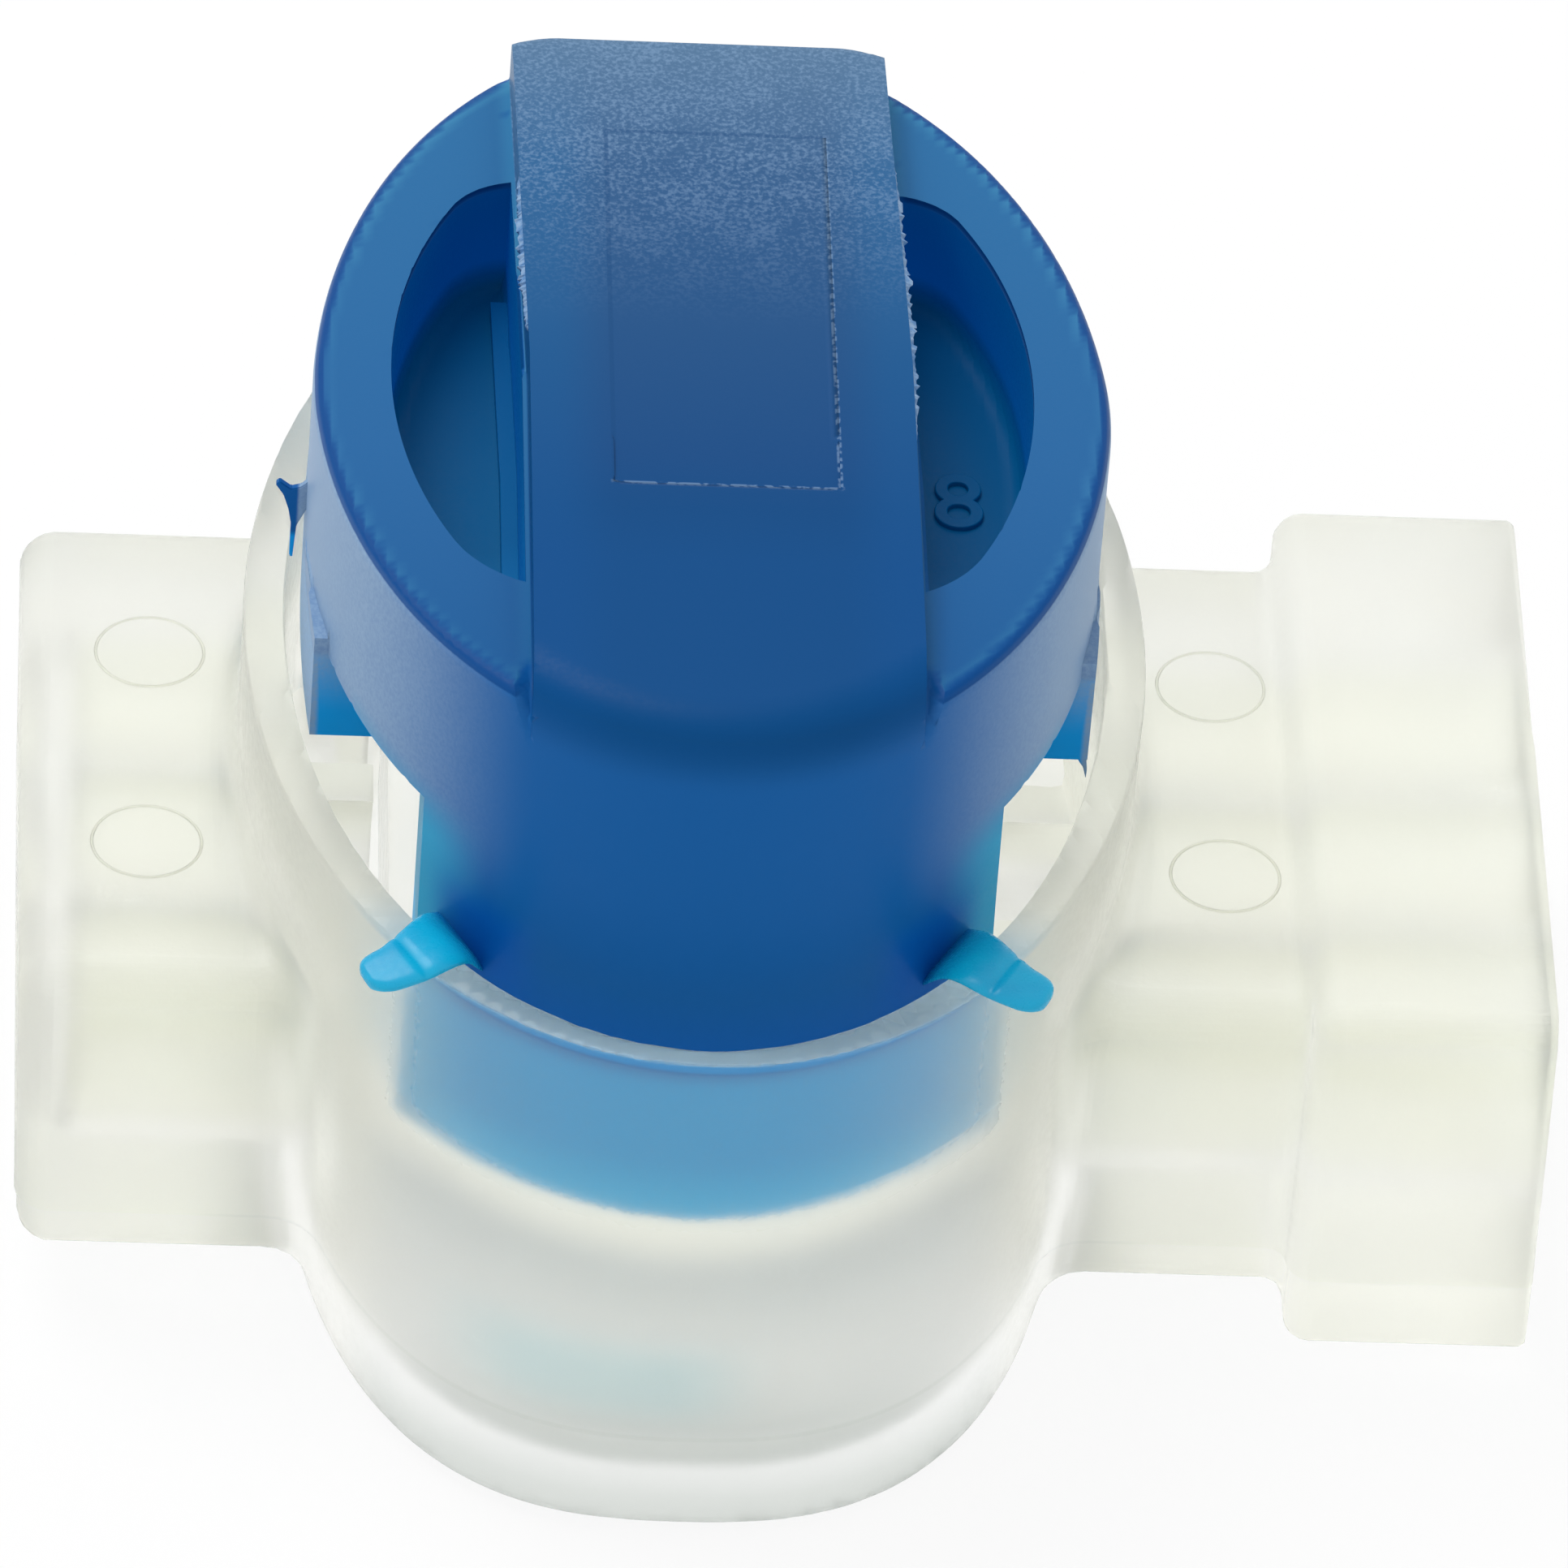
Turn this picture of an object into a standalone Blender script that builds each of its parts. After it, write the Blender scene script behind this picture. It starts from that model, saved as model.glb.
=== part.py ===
"""Gel-filled push-cap wire connector: three wires go in side by side at one end, and pressing
the cap drives a slotted metal contact over them.

Metres, +Z up. The part stands on the flat bottom of its oval well. X runs along the wires, with
the ports at +X, and X = 0 is the middle of the housing's length. The cap is shown as supplied:
raised, resting on its four hold tabs.
"""
import math

import bmesh
import bpy
from mathutils import Matrix, Vector

MM = 0.001

# Gaps between pieces
SEAT_GAP = 0.3 * MM
CAP_SIDE_GAP = 0.4 * MM
CAP_END_GAP = 1.1 * MM

# Housing: a flat block along X, with a collar round the ports and an oval well through it
LENGTH = 30.0 * MM
BLOCK_DEPTH = 13.8 * MM
BLOCK_HEIGHT = 7.2 * MM
BLOCK_RAISE = 1.3 * MM
BLOCK_ROUND = 0.6 * MM
COLLAR_LENGTH = 4.85 * MM
COLLAR_STEP_Y = 0.95 * MM
COLLAR_STEP_Z = 0.7 * MM
WELL_SHIFT = -1.85 * MM
WELL_RX = 8.8 * MM
WELL_RY = 13.15 * MM
WELL_HEIGHT = 12.05 * MM
WELL_WALL = 0.8 * MM
WELL_FLOOR = 0.95 * MM
WELL_BOTTOM_ROUND = 0.4 * MM
WELL_TAPER_X = 1.1 * MM
WELL_TAPER_Y = 0.1 * MM
WELL_FOOT_SQUARENESS = 2.5

# Wire ports, in a row across the block
PORT_COUNT = 3
PORT_BORE = 3.7 * MM
PORT_PITCH = 4.15 * MM
PORT_MOUTH_EXTRA = 0.3 * MM
PORT_MOUTH_DEPTH = 0.8 * MM
PORT_END_WALL = 1.1 * MM
PORT_SIDE_WALL = 0.4 * MM
PORT_ROOF = 1.05 * MM

# Push cap: an oval head with a raised bar, front and back skirts and two side legs
CAP_TRAVEL = 5.7 * MM
CAP_PROUD = 0.1 * MM
HEAD_HEIGHT = 3.85 * MM
BAR_WIDTH = 7.15 * MM
BAR_RISE = 0.8 * MM
BAR_FRONT_ROUND = 0.95 * MM
BAR_FOOT = 0.15 * MM
CEILING_RISE = 0.25 * MM
BACK_FLAT = 1.3 * MM
RING_BAND = 1.45 * MM
POCKET_DEPTH = 2.55 * MM
POCKET_LENGTH = 12.8 * MM
SKIRT_WIDTH = 11.2 * MM
SKIRT_WALL = 1.2 * MM
SKIRT_FLOOR_GAP = 0.35 * MM
LEG_DEPTH = 7.4 * MM
LEG_LENGTH = 2.0 * MM
SHOULDER_GAP = 0.5 * MM
LEG_GAP = 0.3 * MM
POST_BORE = 1.2 * MM
POST_LENGTH = 1.2 * MM
POST_SPACING = 4.15 * MM

# Contact: a folded U of sheet with a slot for each wire in both plates
CONTACT_SHEET = 0.5 * MM
CONTACT_WIDTH = 4.8 * MM
CONTACT_END = 2.15 * MM
CONTACT_FLOOR_GAP = 1.05 * MM
SLOT_WIDTH = 0.5 * MM
SLOT_MOUTH = 1.7 * MM
SLOT_MOUTH_HEIGHT = 1.0 * MM
SLOT_DEPTH = 4.4 * MM

# Hold tabs: thin fins at the skirt's corners, lying on the rim
TAB_ROOT_X = 3.9 * MM
TAB_LENGTH = 2.9 * MM
TAB_WIDTH = 1.45 * MM
TAB_SHEET = 0.35 * MM
TAB_ANGLE = math.radians(26.0)

# Gel
GEL_TOP_GAP = 0.4 * MM

OVAL_SIDES = 64
ROUND_SIDES = 28
OVERCUT = 1.0 * MM

# Places worked out from the sizes above
BLOCK_TOP = BLOCK_RAISE + BLOCK_HEIGHT
CAP_RX = WELL_RX - WELL_WALL - CAP_SIDE_GAP
CAP_RY = WELL_RY - WELL_WALL - CAP_END_GAP
CAP_BACK = CAP_RY - BACK_FLAT
RING_TOP = WELL_HEIGHT + CAP_PROUD + CAP_TRAVEL
HEAD_BOTTOM = RING_TOP - HEAD_HEIGHT
BAR_TOP = RING_TOP + BAR_RISE
SKIRT_BOTTOM = WELL_FLOOR + SKIRT_FLOOR_GAP + CAP_TRAVEL
LEG_BOTTOM = HEAD_BOTTOM - LEG_LENGTH
POCKET_FLOOR = LEG_BOTTOM - CAP_TRAVEL - SEAT_GAP
SHOULDER_TOP = HEAD_BOTTOM - CAP_TRAVEL - SHOULDER_GAP
SHOULDER_X = SKIRT_WIDTH / 2 + CAP_SIDE_GAP
PORT_Z = SHOULDER_TOP - PORT_ROOF - PORT_BORE / 2
PORT_SPAN = (PORT_COUNT - 1) * PORT_PITCH
SHOULDER_HALF_DEPTH = PORT_SPAN / 2 + PORT_BORE / 2 + PORT_SIDE_WALL
CONTACT_HALF_DEPTH = PORT_SPAN / 2 + CONTACT_END
CONTACT_TIP = WELL_FLOOR + CONTACT_FLOOR_GAP + CAP_TRAVEL
CEILING = HEAD_BOTTOM + CEILING_RISE
CONTACT_TOP = CEILING - SEAT_GAP


def material(name, colour, roughness, metallic=0.0, alpha=1.0):
    """A plain Principled material with the piece's colour."""
    made = bpy.data.materials.new(name)
    made.use_nodes = True
    shader = made.node_tree.nodes["Principled BSDF"]
    shader.inputs["Base Color"].default_value = (*colour, 1.0)
    shader.inputs["Roughness"].default_value = roughness
    shader.inputs["Metallic"].default_value = metallic
    shader.inputs["Alpha"].default_value = alpha
    return made


def box(x0, x1, y0, y1, z0, z1, rounding=0.0):
    """A box between two corners, with its edges rounded if asked."""
    shape = bmesh.new()
    bmesh.ops.create_cube(shape, size=1.0)
    size = Matrix.Diagonal((x1 - x0, y1 - y0, z1 - z0, 1.0))
    middle = Matrix.Translation(((x0 + x1) / 2, (y0 + y1) / 2, (z0 + z1) / 2))
    bmesh.ops.transform(shape, matrix=middle @ size, verts=shape.verts)
    if rounding > 0.0:
        bmesh.ops.bevel(shape, geom=shape.edges[:], offset=rounding, segments=3, profile=0.5,
                        affect='EDGES')
    return shape


def oval(rx, ry, z0, z1, sides=OVAL_SIDES):
    """An upright oval prism on the well's axis."""
    shape = bmesh.new()
    bmesh.ops.create_cone(shape, cap_ends=True, segments=sides, radius1=1.0, radius2=1.0, depth=1.0)
    size = Matrix.Diagonal((rx, ry, z1 - z0, 1.0))
    middle = Matrix.Translation((WELL_SHIFT, 0.0, (z0 + z1) / 2))
    bmesh.ops.transform(shape, matrix=middle @ size, verts=shape.verts)
    return shape


def squared(angle):
    """A point on a circle, pushed out towards a square by the foot's squareness."""
    power = 2.0 / WELL_FOOT_SQUARENESS
    cosine, sine = math.cos(angle), math.sin(angle)
    return (math.copysign(abs(cosine) ** power, cosine), math.copysign(abs(sine) ** power, sine))


def well_body(inset, z0, z1, upright):
    """The well's outline drawn in by an inset: an upright oval above a height, drawing in below it
    to a squarer and narrower foot."""
    shape = oval(1.0, 1.0, z0, z1)
    bmesh.ops.bisect_plane(shape, geom=shape.verts[:] + shape.edges[:] + shape.faces[:],
                           plane_co=(0.0, 0.0, upright), plane_no=(0.0, 0.0, 1.0))
    rx, ry = WELL_RX - inset, WELL_RY - inset
    for vert in shape.verts:
        angle = math.atan2(vert.co.y, vert.co.x - WELL_SHIFT)
        foot_x, foot_y = squared(angle)
        rise = min(1.0, vert.co.z / upright)
        x = rise * rx * math.cos(angle) + (1.0 - rise) * (rx - WELL_TAPER_X) * foot_x
        y = rise * ry * math.sin(angle) + (1.0 - rise) * (ry - WELL_TAPER_Y) * foot_y
        vert.co.x, vert.co.y = WELL_SHIFT + x, y
    return shape


def trim(shape, point, outward):
    """Cuts off what lies beyond a plane and closes the cut."""
    bmesh.ops.bisect_plane(shape, geom=shape.verts[:] + shape.edges[:] + shape.faces[:],
                           plane_co=point, plane_no=outward, clear_outer=True)
    bmesh.ops.holes_fill(shape, edges=[edge for edge in shape.edges if edge.is_boundary])
    bmesh.ops.recalc_face_normals(shape, faces=shape.faces[:])
    return shape


def oval_slice(rx, ry, side, inner, half_depth, z0, z1):
    """The part of an oval prism past a distance on one side of the axis, cut off at both ends."""
    shape = oval(rx, ry, z0, z1)
    trim(shape, (WELL_SHIFT + side * inner, 0.0, 0.0), (-side, 0.0, 0.0))
    for end in (-1, 1):
        trim(shape, (0.0, end * half_depth, 0.0), (0.0, end, 0.0))
    return shape


def round_bar(radius0, radius1, start, end, sides=ROUND_SIDES):
    """A cylinder or cone between two points."""
    start, end = Vector(start), Vector(end)
    shape = bmesh.new()
    bmesh.ops.create_cone(shape, cap_ends=True, segments=sides, radius1=radius0, radius2=radius1,
                          depth=(end - start).length)
    turn = (end - start).to_track_quat('Z', 'Y').to_matrix().to_4x4()
    bmesh.ops.transform(shape, matrix=Matrix.Translation((start + end) / 2) @ turn, verts=shape.verts)
    return shape


def turned(stations, y, z, sides=ROUND_SIDES):
    """A closed turned shape along X, through the given places and radii."""
    shape = bmesh.new()
    rings = []
    for x, radius in stations:
        turns = (math.tau * index / sides for index in range(sides))
        rings.append([shape.verts.new((x, y + radius * math.cos(turn), z + radius * math.sin(turn)))
                      for turn in turns])
    for ring, following in zip(rings, rings[1:]):
        for index in range(sides):
            after = (index + 1) % sides
            shape.faces.new((ring[index], ring[after], following[after], following[index]))
    shape.faces.new(rings[0])
    shape.faces.new(rings[-1])
    bmesh.ops.recalc_face_normals(shape, faces=shape.faces[:])
    return shape


def sheet(points, direction):
    """A flat outline pushed along a direction."""
    shape = bmesh.new()
    face = shape.faces.new([shape.verts.new(point) for point in points])
    pushed = bmesh.ops.extrude_face_region(shape, geom=[face])
    moved = [item for item in pushed["geom"] if isinstance(item, bmesh.types.BMVert)]
    bmesh.ops.translate(shape, vec=direction, verts=moved)
    bmesh.ops.recalc_face_normals(shape, faces=shape.faces[:])
    return shape


def round_edges(shape, chosen, size, segments=4):
    """Rounds the edges of a shape that the test picks."""
    edges = [edge for edge in shape.edges if chosen(edge)]
    bmesh.ops.bevel(shape, geom=edges, offset=size, segments=segments, profile=0.5, affect='EDGES')
    return shape


def to_object(name, shape, collection, look=None):
    """Turns a shape into a named object."""
    mesh = bpy.data.meshes.new(name)
    shape.to_mesh(mesh)
    shape.free()
    made = bpy.data.objects.new(name, mesh)
    collection.objects.link(made)
    if look:
        mesh.materials.append(look)
        mesh.shade_smooth()
        mesh.set_sharp_from_angle(angle=math.radians(35.0))
    return made


class Piece:
    """One sub-part under construction, with the shapes added to it and cut from it."""

    def __init__(self, name, shape, look, parts, cutters):
        self.object = to_object(name, shape, parts, look)
        self.cutters = cutters
        self.count = 0

    def tool(self, shape):
        """A hidden piece that this one is cut or joined with, which can be cut itself first."""
        self.count += 1
        made = Piece(f"{self.object.name}_tool_{self.count:02d}", shape, None, self.cutters, self.cutters)
        made.object.hide_render = True
        made.object.display_type = 'WIRE'
        return made

    def combine(self, tool, operation):
        """Adds a Boolean with a tool piece."""
        step = self.object.modifiers.new(f"{operation.lower()}_{self.count:02d}", 'BOOLEAN')
        step.operation = operation
        step.solver = 'EXACT'
        step.object = tool.object

    def add(self, shape):
        self.combine(self.tool(shape), 'UNION')

    def cut(self, shape):
        self.combine(self.tool(shape), 'DIFFERENCE')


def port_places():
    """Y of each wire port, from back to front."""
    return [PORT_SPAN / 2 - index * PORT_PITCH for index in range(PORT_COUNT)]


def side_box(side, inner, outer, half_depth, bottom, top):
    """A box on one side of the press axis, between two distances from it."""
    places = (WELL_SHIFT + side * inner, WELL_SHIFT + side * outer)
    return box(min(places), max(places), -half_depth, half_depth, bottom, top)


def cavity(top, inset):
    """The inside of the oval well, drawn in by an inset."""
    return well_body(WELL_WALL + inset, WELL_FLOOR + inset, top, POCKET_FLOOR)


def shoulder_box(side, bottom, top):
    """The block round the wire bores on one side of the well."""
    return side_box(side, SHOULDER_X, WELL_RX + OVERCUT, SHOULDER_HALF_DEPTH, bottom, top)


def make_housing(parts, cutters):
    """Translucent housing: block, collar, oval well, wire bores and pockets for the cap's legs."""
    look = material("housing_plastic", (0.82, 0.84, 0.80), 0.35, alpha=0.6)
    left, right = -LENGTH / 2, LENGTH / 2
    half = BLOCK_DEPTH / 2
    block_end = right - COLLAR_LENGTH / 2
    block = box(left, block_end, -half, half, BLOCK_RAISE, BLOCK_TOP, BLOCK_ROUND)
    housing = Piece("housing", block, look, parts, cutters)

    collar_half = half + COLLAR_STEP_Y
    collar = box(right - COLLAR_LENGTH, right, -collar_half, collar_half,
                 BLOCK_RAISE - COLLAR_STEP_Z, BLOCK_TOP + COLLAR_STEP_Z)
    # The port end keeps a sharp edge.
    inner_end = right - COLLAR_LENGTH / 2
    round_edges(collar, lambda edge: any(vert.co.x < inner_end for vert in edge.verts), BLOCK_ROUND, 3)
    housing.add(collar)
    well = well_body(0.0, 0.0, WELL_HEIGHT, BLOCK_TOP)
    round_edges(well, lambda edge: all(vert.co.z < OVERCUT for vert in edge.verts), WELL_BOTTOM_ROUND, 3)
    housing.add(well)

    inside = housing.tool(cavity(WELL_HEIGHT + OVERCUT, 0.0))
    for side in (-1, 1):
        inside.cut(shoulder_box(side, 0.0, SHOULDER_TOP))
    housing.combine(inside, 'DIFFERENCE')

    pocket_half = LEG_DEPTH / 2 + LEG_GAP
    for side in (-1, 1):
        housing.cut(oval_slice(CAP_RX + LEG_GAP, CAP_RY + LEG_GAP, side, SHOULDER_X - OVERCUT,
                               pocket_half, POCKET_FLOOR, SHOULDER_TOP + OVERCUT))
    blind_end = left + PORT_END_WALL
    bore = PORT_BORE / 2
    mouth = bore + PORT_MOUTH_EXTRA
    for y in port_places():
        housing.cut(turned([(blind_end, bore), (right - PORT_MOUTH_DEPTH, bore), (right, mouth),
                            (right + OVERCUT, mouth)], y, PORT_Z))
    return housing.object


def pocket_shape(side):
    """The open pocket beside the bar: the oval inside the ring, cut off at the bar and at its ends."""
    return oval_slice(CAP_RX - RING_BAND, CAP_RY - RING_BAND, side, BAR_WIDTH / 2 + BAR_FOOT,
                      POCKET_LENGTH / 2, RING_TOP - POCKET_DEPTH, BAR_TOP + OVERCUT)


def make_cap(parts, cutters):
    """Blue push cap, hollow below its head, with a raised bar between two open pockets."""
    look = material("cap_plastic", (0.02, 0.12, 0.40), 0.45)
    body = oval(CAP_RX, CAP_RY, SKIRT_BOTTOM, BAR_TOP)
    front = -CAP_RY * 0.6
    round_edges(body, lambda edge: all(vert.co.z > RING_TOP and vert.co.y < front for vert in edge.verts),
                BAR_FRONT_ROUND)
    trim(body, (0.0, CAP_BACK, 0.0), (0.0, 1.0, 0.0))
    cap = Piece("push_cap", body, look, parts, cutters)

    hollow = oval(CAP_RX - SKIRT_WALL, CAP_RY - SKIRT_WALL, SKIRT_BOTTOM - OVERCUT, CEILING)
    cap.cut(trim(hollow, (0.0, CAP_BACK - SKIRT_WALL, 0.0), (0.0, 1.0, 0.0)))
    far_x = CAP_RX + OVERCUT
    far_y = CAP_RY + OVERCUT
    for side in (-1, 1):
        cap.cut(side_box(side, BAR_WIDTH / 2, far_x, far_y, RING_TOP, BAR_TOP + OVERCUT))
        cap.cut(pocket_shape(side))
        flank = cap.tool(side_box(side, SKIRT_WIDTH / 2, far_x, far_y, SKIRT_BOTTOM - OVERCUT, HEAD_BOTTOM))
        flank.cut(side_box(side, SKIRT_WIDTH / 2 - OVERCUT, far_x + OVERCUT, LEG_DEPTH / 2,
                           LEG_BOTTOM, HEAD_BOTTOM + OVERCUT))
        cap.combine(flank, 'DIFFERENCE')
    for y in (-POST_SPACING / 2, POST_SPACING / 2):
        cap.add(round_bar(POST_BORE / 2, POST_BORE / 2, (WELL_SHIFT, y, CEILING - POST_LENGTH),
                          (WELL_SHIFT, y, CEILING + CEILING_RISE), 16))
    return cap.object


def make_contact(parts, cutters):
    """Tin-plated U contact: a web under the cap's head and two plates with a slot for each wire."""
    look = material("contact_metal", (0.78, 0.76, 0.70), 0.3, metallic=1.0)
    half_x = CONTACT_WIDTH / 2
    blank = box(WELL_SHIFT - half_x, WELL_SHIFT + half_x, -CONTACT_HALF_DEPTH, CONTACT_HALF_DEPTH,
                CONTACT_TIP, CONTACT_TOP)
    contact = Piece("contact", blank, look, parts, cutters)
    inner = half_x - CONTACT_SHEET
    contact.cut(box(WELL_SHIFT - inner, WELL_SHIFT + inner, -CONTACT_HALF_DEPTH - OVERCUT,
                    CONTACT_HALF_DEPTH + OVERCUT, CONTACT_TIP - OVERCUT, CONTACT_TOP - CONTACT_SHEET))
    mouth_slope = (SLOT_MOUTH - SLOT_WIDTH) / 2 / SLOT_MOUTH_HEIGHT
    below = CONTACT_TIP - OVERCUT
    low_half = SLOT_MOUTH / 2 + mouth_slope * OVERCUT
    start_x = WELL_SHIFT - half_x - OVERCUT
    for y in port_places():
        top = CONTACT_TIP + SLOT_DEPTH
        neck = CONTACT_TIP + SLOT_MOUTH_HEIGHT
        outline = [(y - low_half, below), (y + low_half, below), (y + SLOT_WIDTH / 2, neck),
                   (y + SLOT_WIDTH / 2, top), (y - SLOT_WIDTH / 2, top), (y - SLOT_WIDTH / 2, neck)]
        contact.cut(sheet([(start_x, across, z) for across, z in outline],
                          (CONTACT_WIDTH + 2 * OVERCUT, 0.0, 0.0)))
    for y in (-POST_SPACING / 2, POST_SPACING / 2):
        contact.cut(round_bar(POST_BORE / 2 + SEAT_GAP, POST_BORE / 2 + SEAT_GAP,
                              (WELL_SHIFT, y, CONTACT_TOP - CONTACT_SHEET - OVERCUT),
                              (WELL_SHIFT, y, CONTACT_TOP + OVERCUT), 16))
    return contact.object


def make_gel(parts, cutters):
    """Soft sealing gel in the bottom of the well, just under the raised cap."""
    look = material("sealant_gel", (0.80, 0.82, 0.74), 0.1, alpha=0.4)
    top = SKIRT_BOTTOM - GEL_TOP_GAP
    gel = Piece("sealant_gel", cavity(top, SEAT_GAP), look, parts, cutters)
    # The gel stops short of the shoulders' faces over its whole depth.
    for side in (-1, 1):
        gel.cut(side_box(side, SHOULDER_X - SEAT_GAP, WELL_RX + OVERCUT, WELL_RY, 0.0, top + OVERCUT))
    return gel.object


def meets_oval(start, along, rx, ry):
    """Where a line from a point leaves an oval round the axis."""
    a = (along.x / rx) ** 2 + (along.y / ry) ** 2
    b = start.x * along.x / rx ** 2 + start.y * along.y / ry ** 2
    c = (start.x / rx) ** 2 + (start.y / ry) ** 2 - 1.0
    return start + along * ((-b + math.sqrt(max(b * b - a * c, 0.0))) / a)


def make_tab(name, side, end, parts):
    """One thin hold tab, from the skirt's corner out across the rim, with a round tip."""
    look = material(name + "_plastic", (0.03, 0.35, 0.65), 0.35, alpha=0.7)
    root_y = CAP_RY * math.sqrt(1.0 - (TAB_ROOT_X / CAP_RX) ** 2)
    along = Vector((math.cos(TAB_ANGLE), math.sin(TAB_ANGLE), 0.0))
    across = Vector((-along.y, along.x, 0.0))
    root = Vector((TAB_ROOT_X, root_y, 0.0))
    half = TAB_WIDTH / 2
    tip = root + along * (TAB_LENGTH - half)
    steps = 8
    arc = [tip + half * (math.cos(angle) * along + math.sin(angle) * across)
           for angle in (math.pi * (step / steps - 0.5) for step in range(steps + 1))]
    # Each side line starts where it clears the oval skirt.
    foot = [meets_oval(root + way * half * across, along, CAP_RX + SEAT_GAP, CAP_RY + SEAT_GAP)
            for way in (-1, 1)]
    outline = [foot[0]] + arc + [foot[1]]
    low = WELL_HEIGHT + SEAT_GAP
    placed = [(WELL_SHIFT + side * point.x, end * point.y, low) for point in outline]
    return to_object(name, sheet(placed, (0.0, 0.0, TAB_SHEET)), parts, look)


def main():
    for item in list(bpy.data.objects):
        bpy.data.objects.remove(item)
    scene = bpy.context.scene
    parts = bpy.data.collections.new("wire_connector")
    cutters = bpy.data.collections.new("cutters")
    scene.collection.children.link(parts)
    scene.collection.children.link(cutters)

    make_housing(parts, cutters)
    make_gel(parts, cutters)

    # The cap, its contact and its tabs ride on an empty on the press axis.
    press = bpy.data.objects.new("press_axis", None)
    press.location = (WELL_SHIFT, 0.0, WELL_HEIGHT)
    parts.objects.link(press)
    moving = [make_cap(parts, cutters), make_contact(parts, cutters)]
    for end, end_name in ((-1, "front"), (1, "back")):
        for side, side_name in ((-1, "left"), (1, "right")):
            moving.append(make_tab(f"hold_tab_{end_name}_{side_name}", side, end, parts))
    for piece in moving:
        piece.parent = press
        piece.matrix_parent_inverse = Matrix.Translation(press.location).inverted()


main()
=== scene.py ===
"""Dresses the push-cap wire connector: a milky housing, a blue cap with its hold tabs, the contact
and the gel inside, on a white studio floor.

Sizes in the property groups are in metres. The shape functions work in millimetres.
"""

import math
import random

import bmesh
import bpy
import numpy as np
from bpy.props import FloatProperty, FloatVectorProperty, PointerProperty
from bpy.types import Operator, Panel, PropertyGroup
from mathutils import Matrix, Vector


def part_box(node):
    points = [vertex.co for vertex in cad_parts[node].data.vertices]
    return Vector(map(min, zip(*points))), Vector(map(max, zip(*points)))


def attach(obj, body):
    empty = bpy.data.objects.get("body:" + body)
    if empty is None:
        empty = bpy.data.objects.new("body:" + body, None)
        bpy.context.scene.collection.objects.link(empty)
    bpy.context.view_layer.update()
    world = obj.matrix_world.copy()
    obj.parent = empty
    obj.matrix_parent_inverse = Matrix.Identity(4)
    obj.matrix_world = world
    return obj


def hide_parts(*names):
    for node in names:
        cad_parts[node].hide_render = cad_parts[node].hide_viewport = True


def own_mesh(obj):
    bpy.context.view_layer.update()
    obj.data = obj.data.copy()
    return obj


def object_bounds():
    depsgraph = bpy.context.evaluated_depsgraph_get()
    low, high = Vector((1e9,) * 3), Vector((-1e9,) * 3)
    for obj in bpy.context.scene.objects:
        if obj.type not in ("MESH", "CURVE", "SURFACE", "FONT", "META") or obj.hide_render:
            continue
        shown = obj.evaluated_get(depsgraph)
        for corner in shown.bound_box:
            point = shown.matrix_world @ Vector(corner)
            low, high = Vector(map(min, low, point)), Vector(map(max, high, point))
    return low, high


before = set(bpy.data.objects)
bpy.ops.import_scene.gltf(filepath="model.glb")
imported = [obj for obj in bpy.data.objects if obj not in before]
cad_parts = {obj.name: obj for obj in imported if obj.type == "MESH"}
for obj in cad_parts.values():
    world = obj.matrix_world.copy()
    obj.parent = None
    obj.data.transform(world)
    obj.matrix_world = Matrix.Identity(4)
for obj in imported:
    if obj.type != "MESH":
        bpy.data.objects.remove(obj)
CAD_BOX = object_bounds()

bl_info = {
    "name": "Push-cap wire connector",
    "version": (1, 0, 0),
    "blender": (4, 5, 0),
    "location": "View3D > Sidebar > Connector",
    "description": "Builds a gel-filled wire connector with a push cap",
    "category": "Object",
}

MM = 0.001
BAR_SHIFT = 0.11
BAR_SLANT = 0.024
HOUSING_LOW, HOUSING_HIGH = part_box("housing")
CAP_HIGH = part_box("push_cap")[1]
GEL_LOW, GEL_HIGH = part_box("sealant_gel")


# Roundings inside the well and the room for the cap's legs, in millimetres.
FLOOR_FILLET = 1.3
SHOULDER_ROUND = 0.4
SHOULDER_FILLET = 0.25
LEG_ROOM_X = 5.0
LEG_ROOM_HALF = 4.05
LEG_ROOM_LOW = 6.0

# Lines across a tab from the skirt to the tip, each from its side edge to its front edge, in millimetres from
# the press axis, and the line that carries the crease
TAB_LINES = np.array([
    ((4.80, 8.05, 11.30), (3.98, 9.10, 10.60)),
    ((5.10, 8.55, 11.72), (4.22, 9.62, 11.28)),
    ((5.45, 9.30, 12.24), (4.58, 10.52, 12.20)),
    ((5.93, 9.98, 12.28), (5.28, 11.04, 12.22)),
    ((6.25, 10.30, 12.22), (5.78, 11.24, 12.14)),
    ((6.72, 10.44, 12.12), (6.26, 11.38, 12.04)),
])
TAB_CREASE = 3.0


def length(label, words, millimetres):
    """A size property, given in millimetres and kept in metres."""
    return FloatProperty(name=label, description=words, default=millimetres * MM, unit='LENGTH',
                         subtype='DISTANCE', precision=5)


def colour(label, words, red, green, blue):
    """A colour property."""
    return FloatVectorProperty(name=label, description=words, default=(red, green, blue),
                               subtype='COLOR', size=3, min=0.0, max=1.0)


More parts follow.
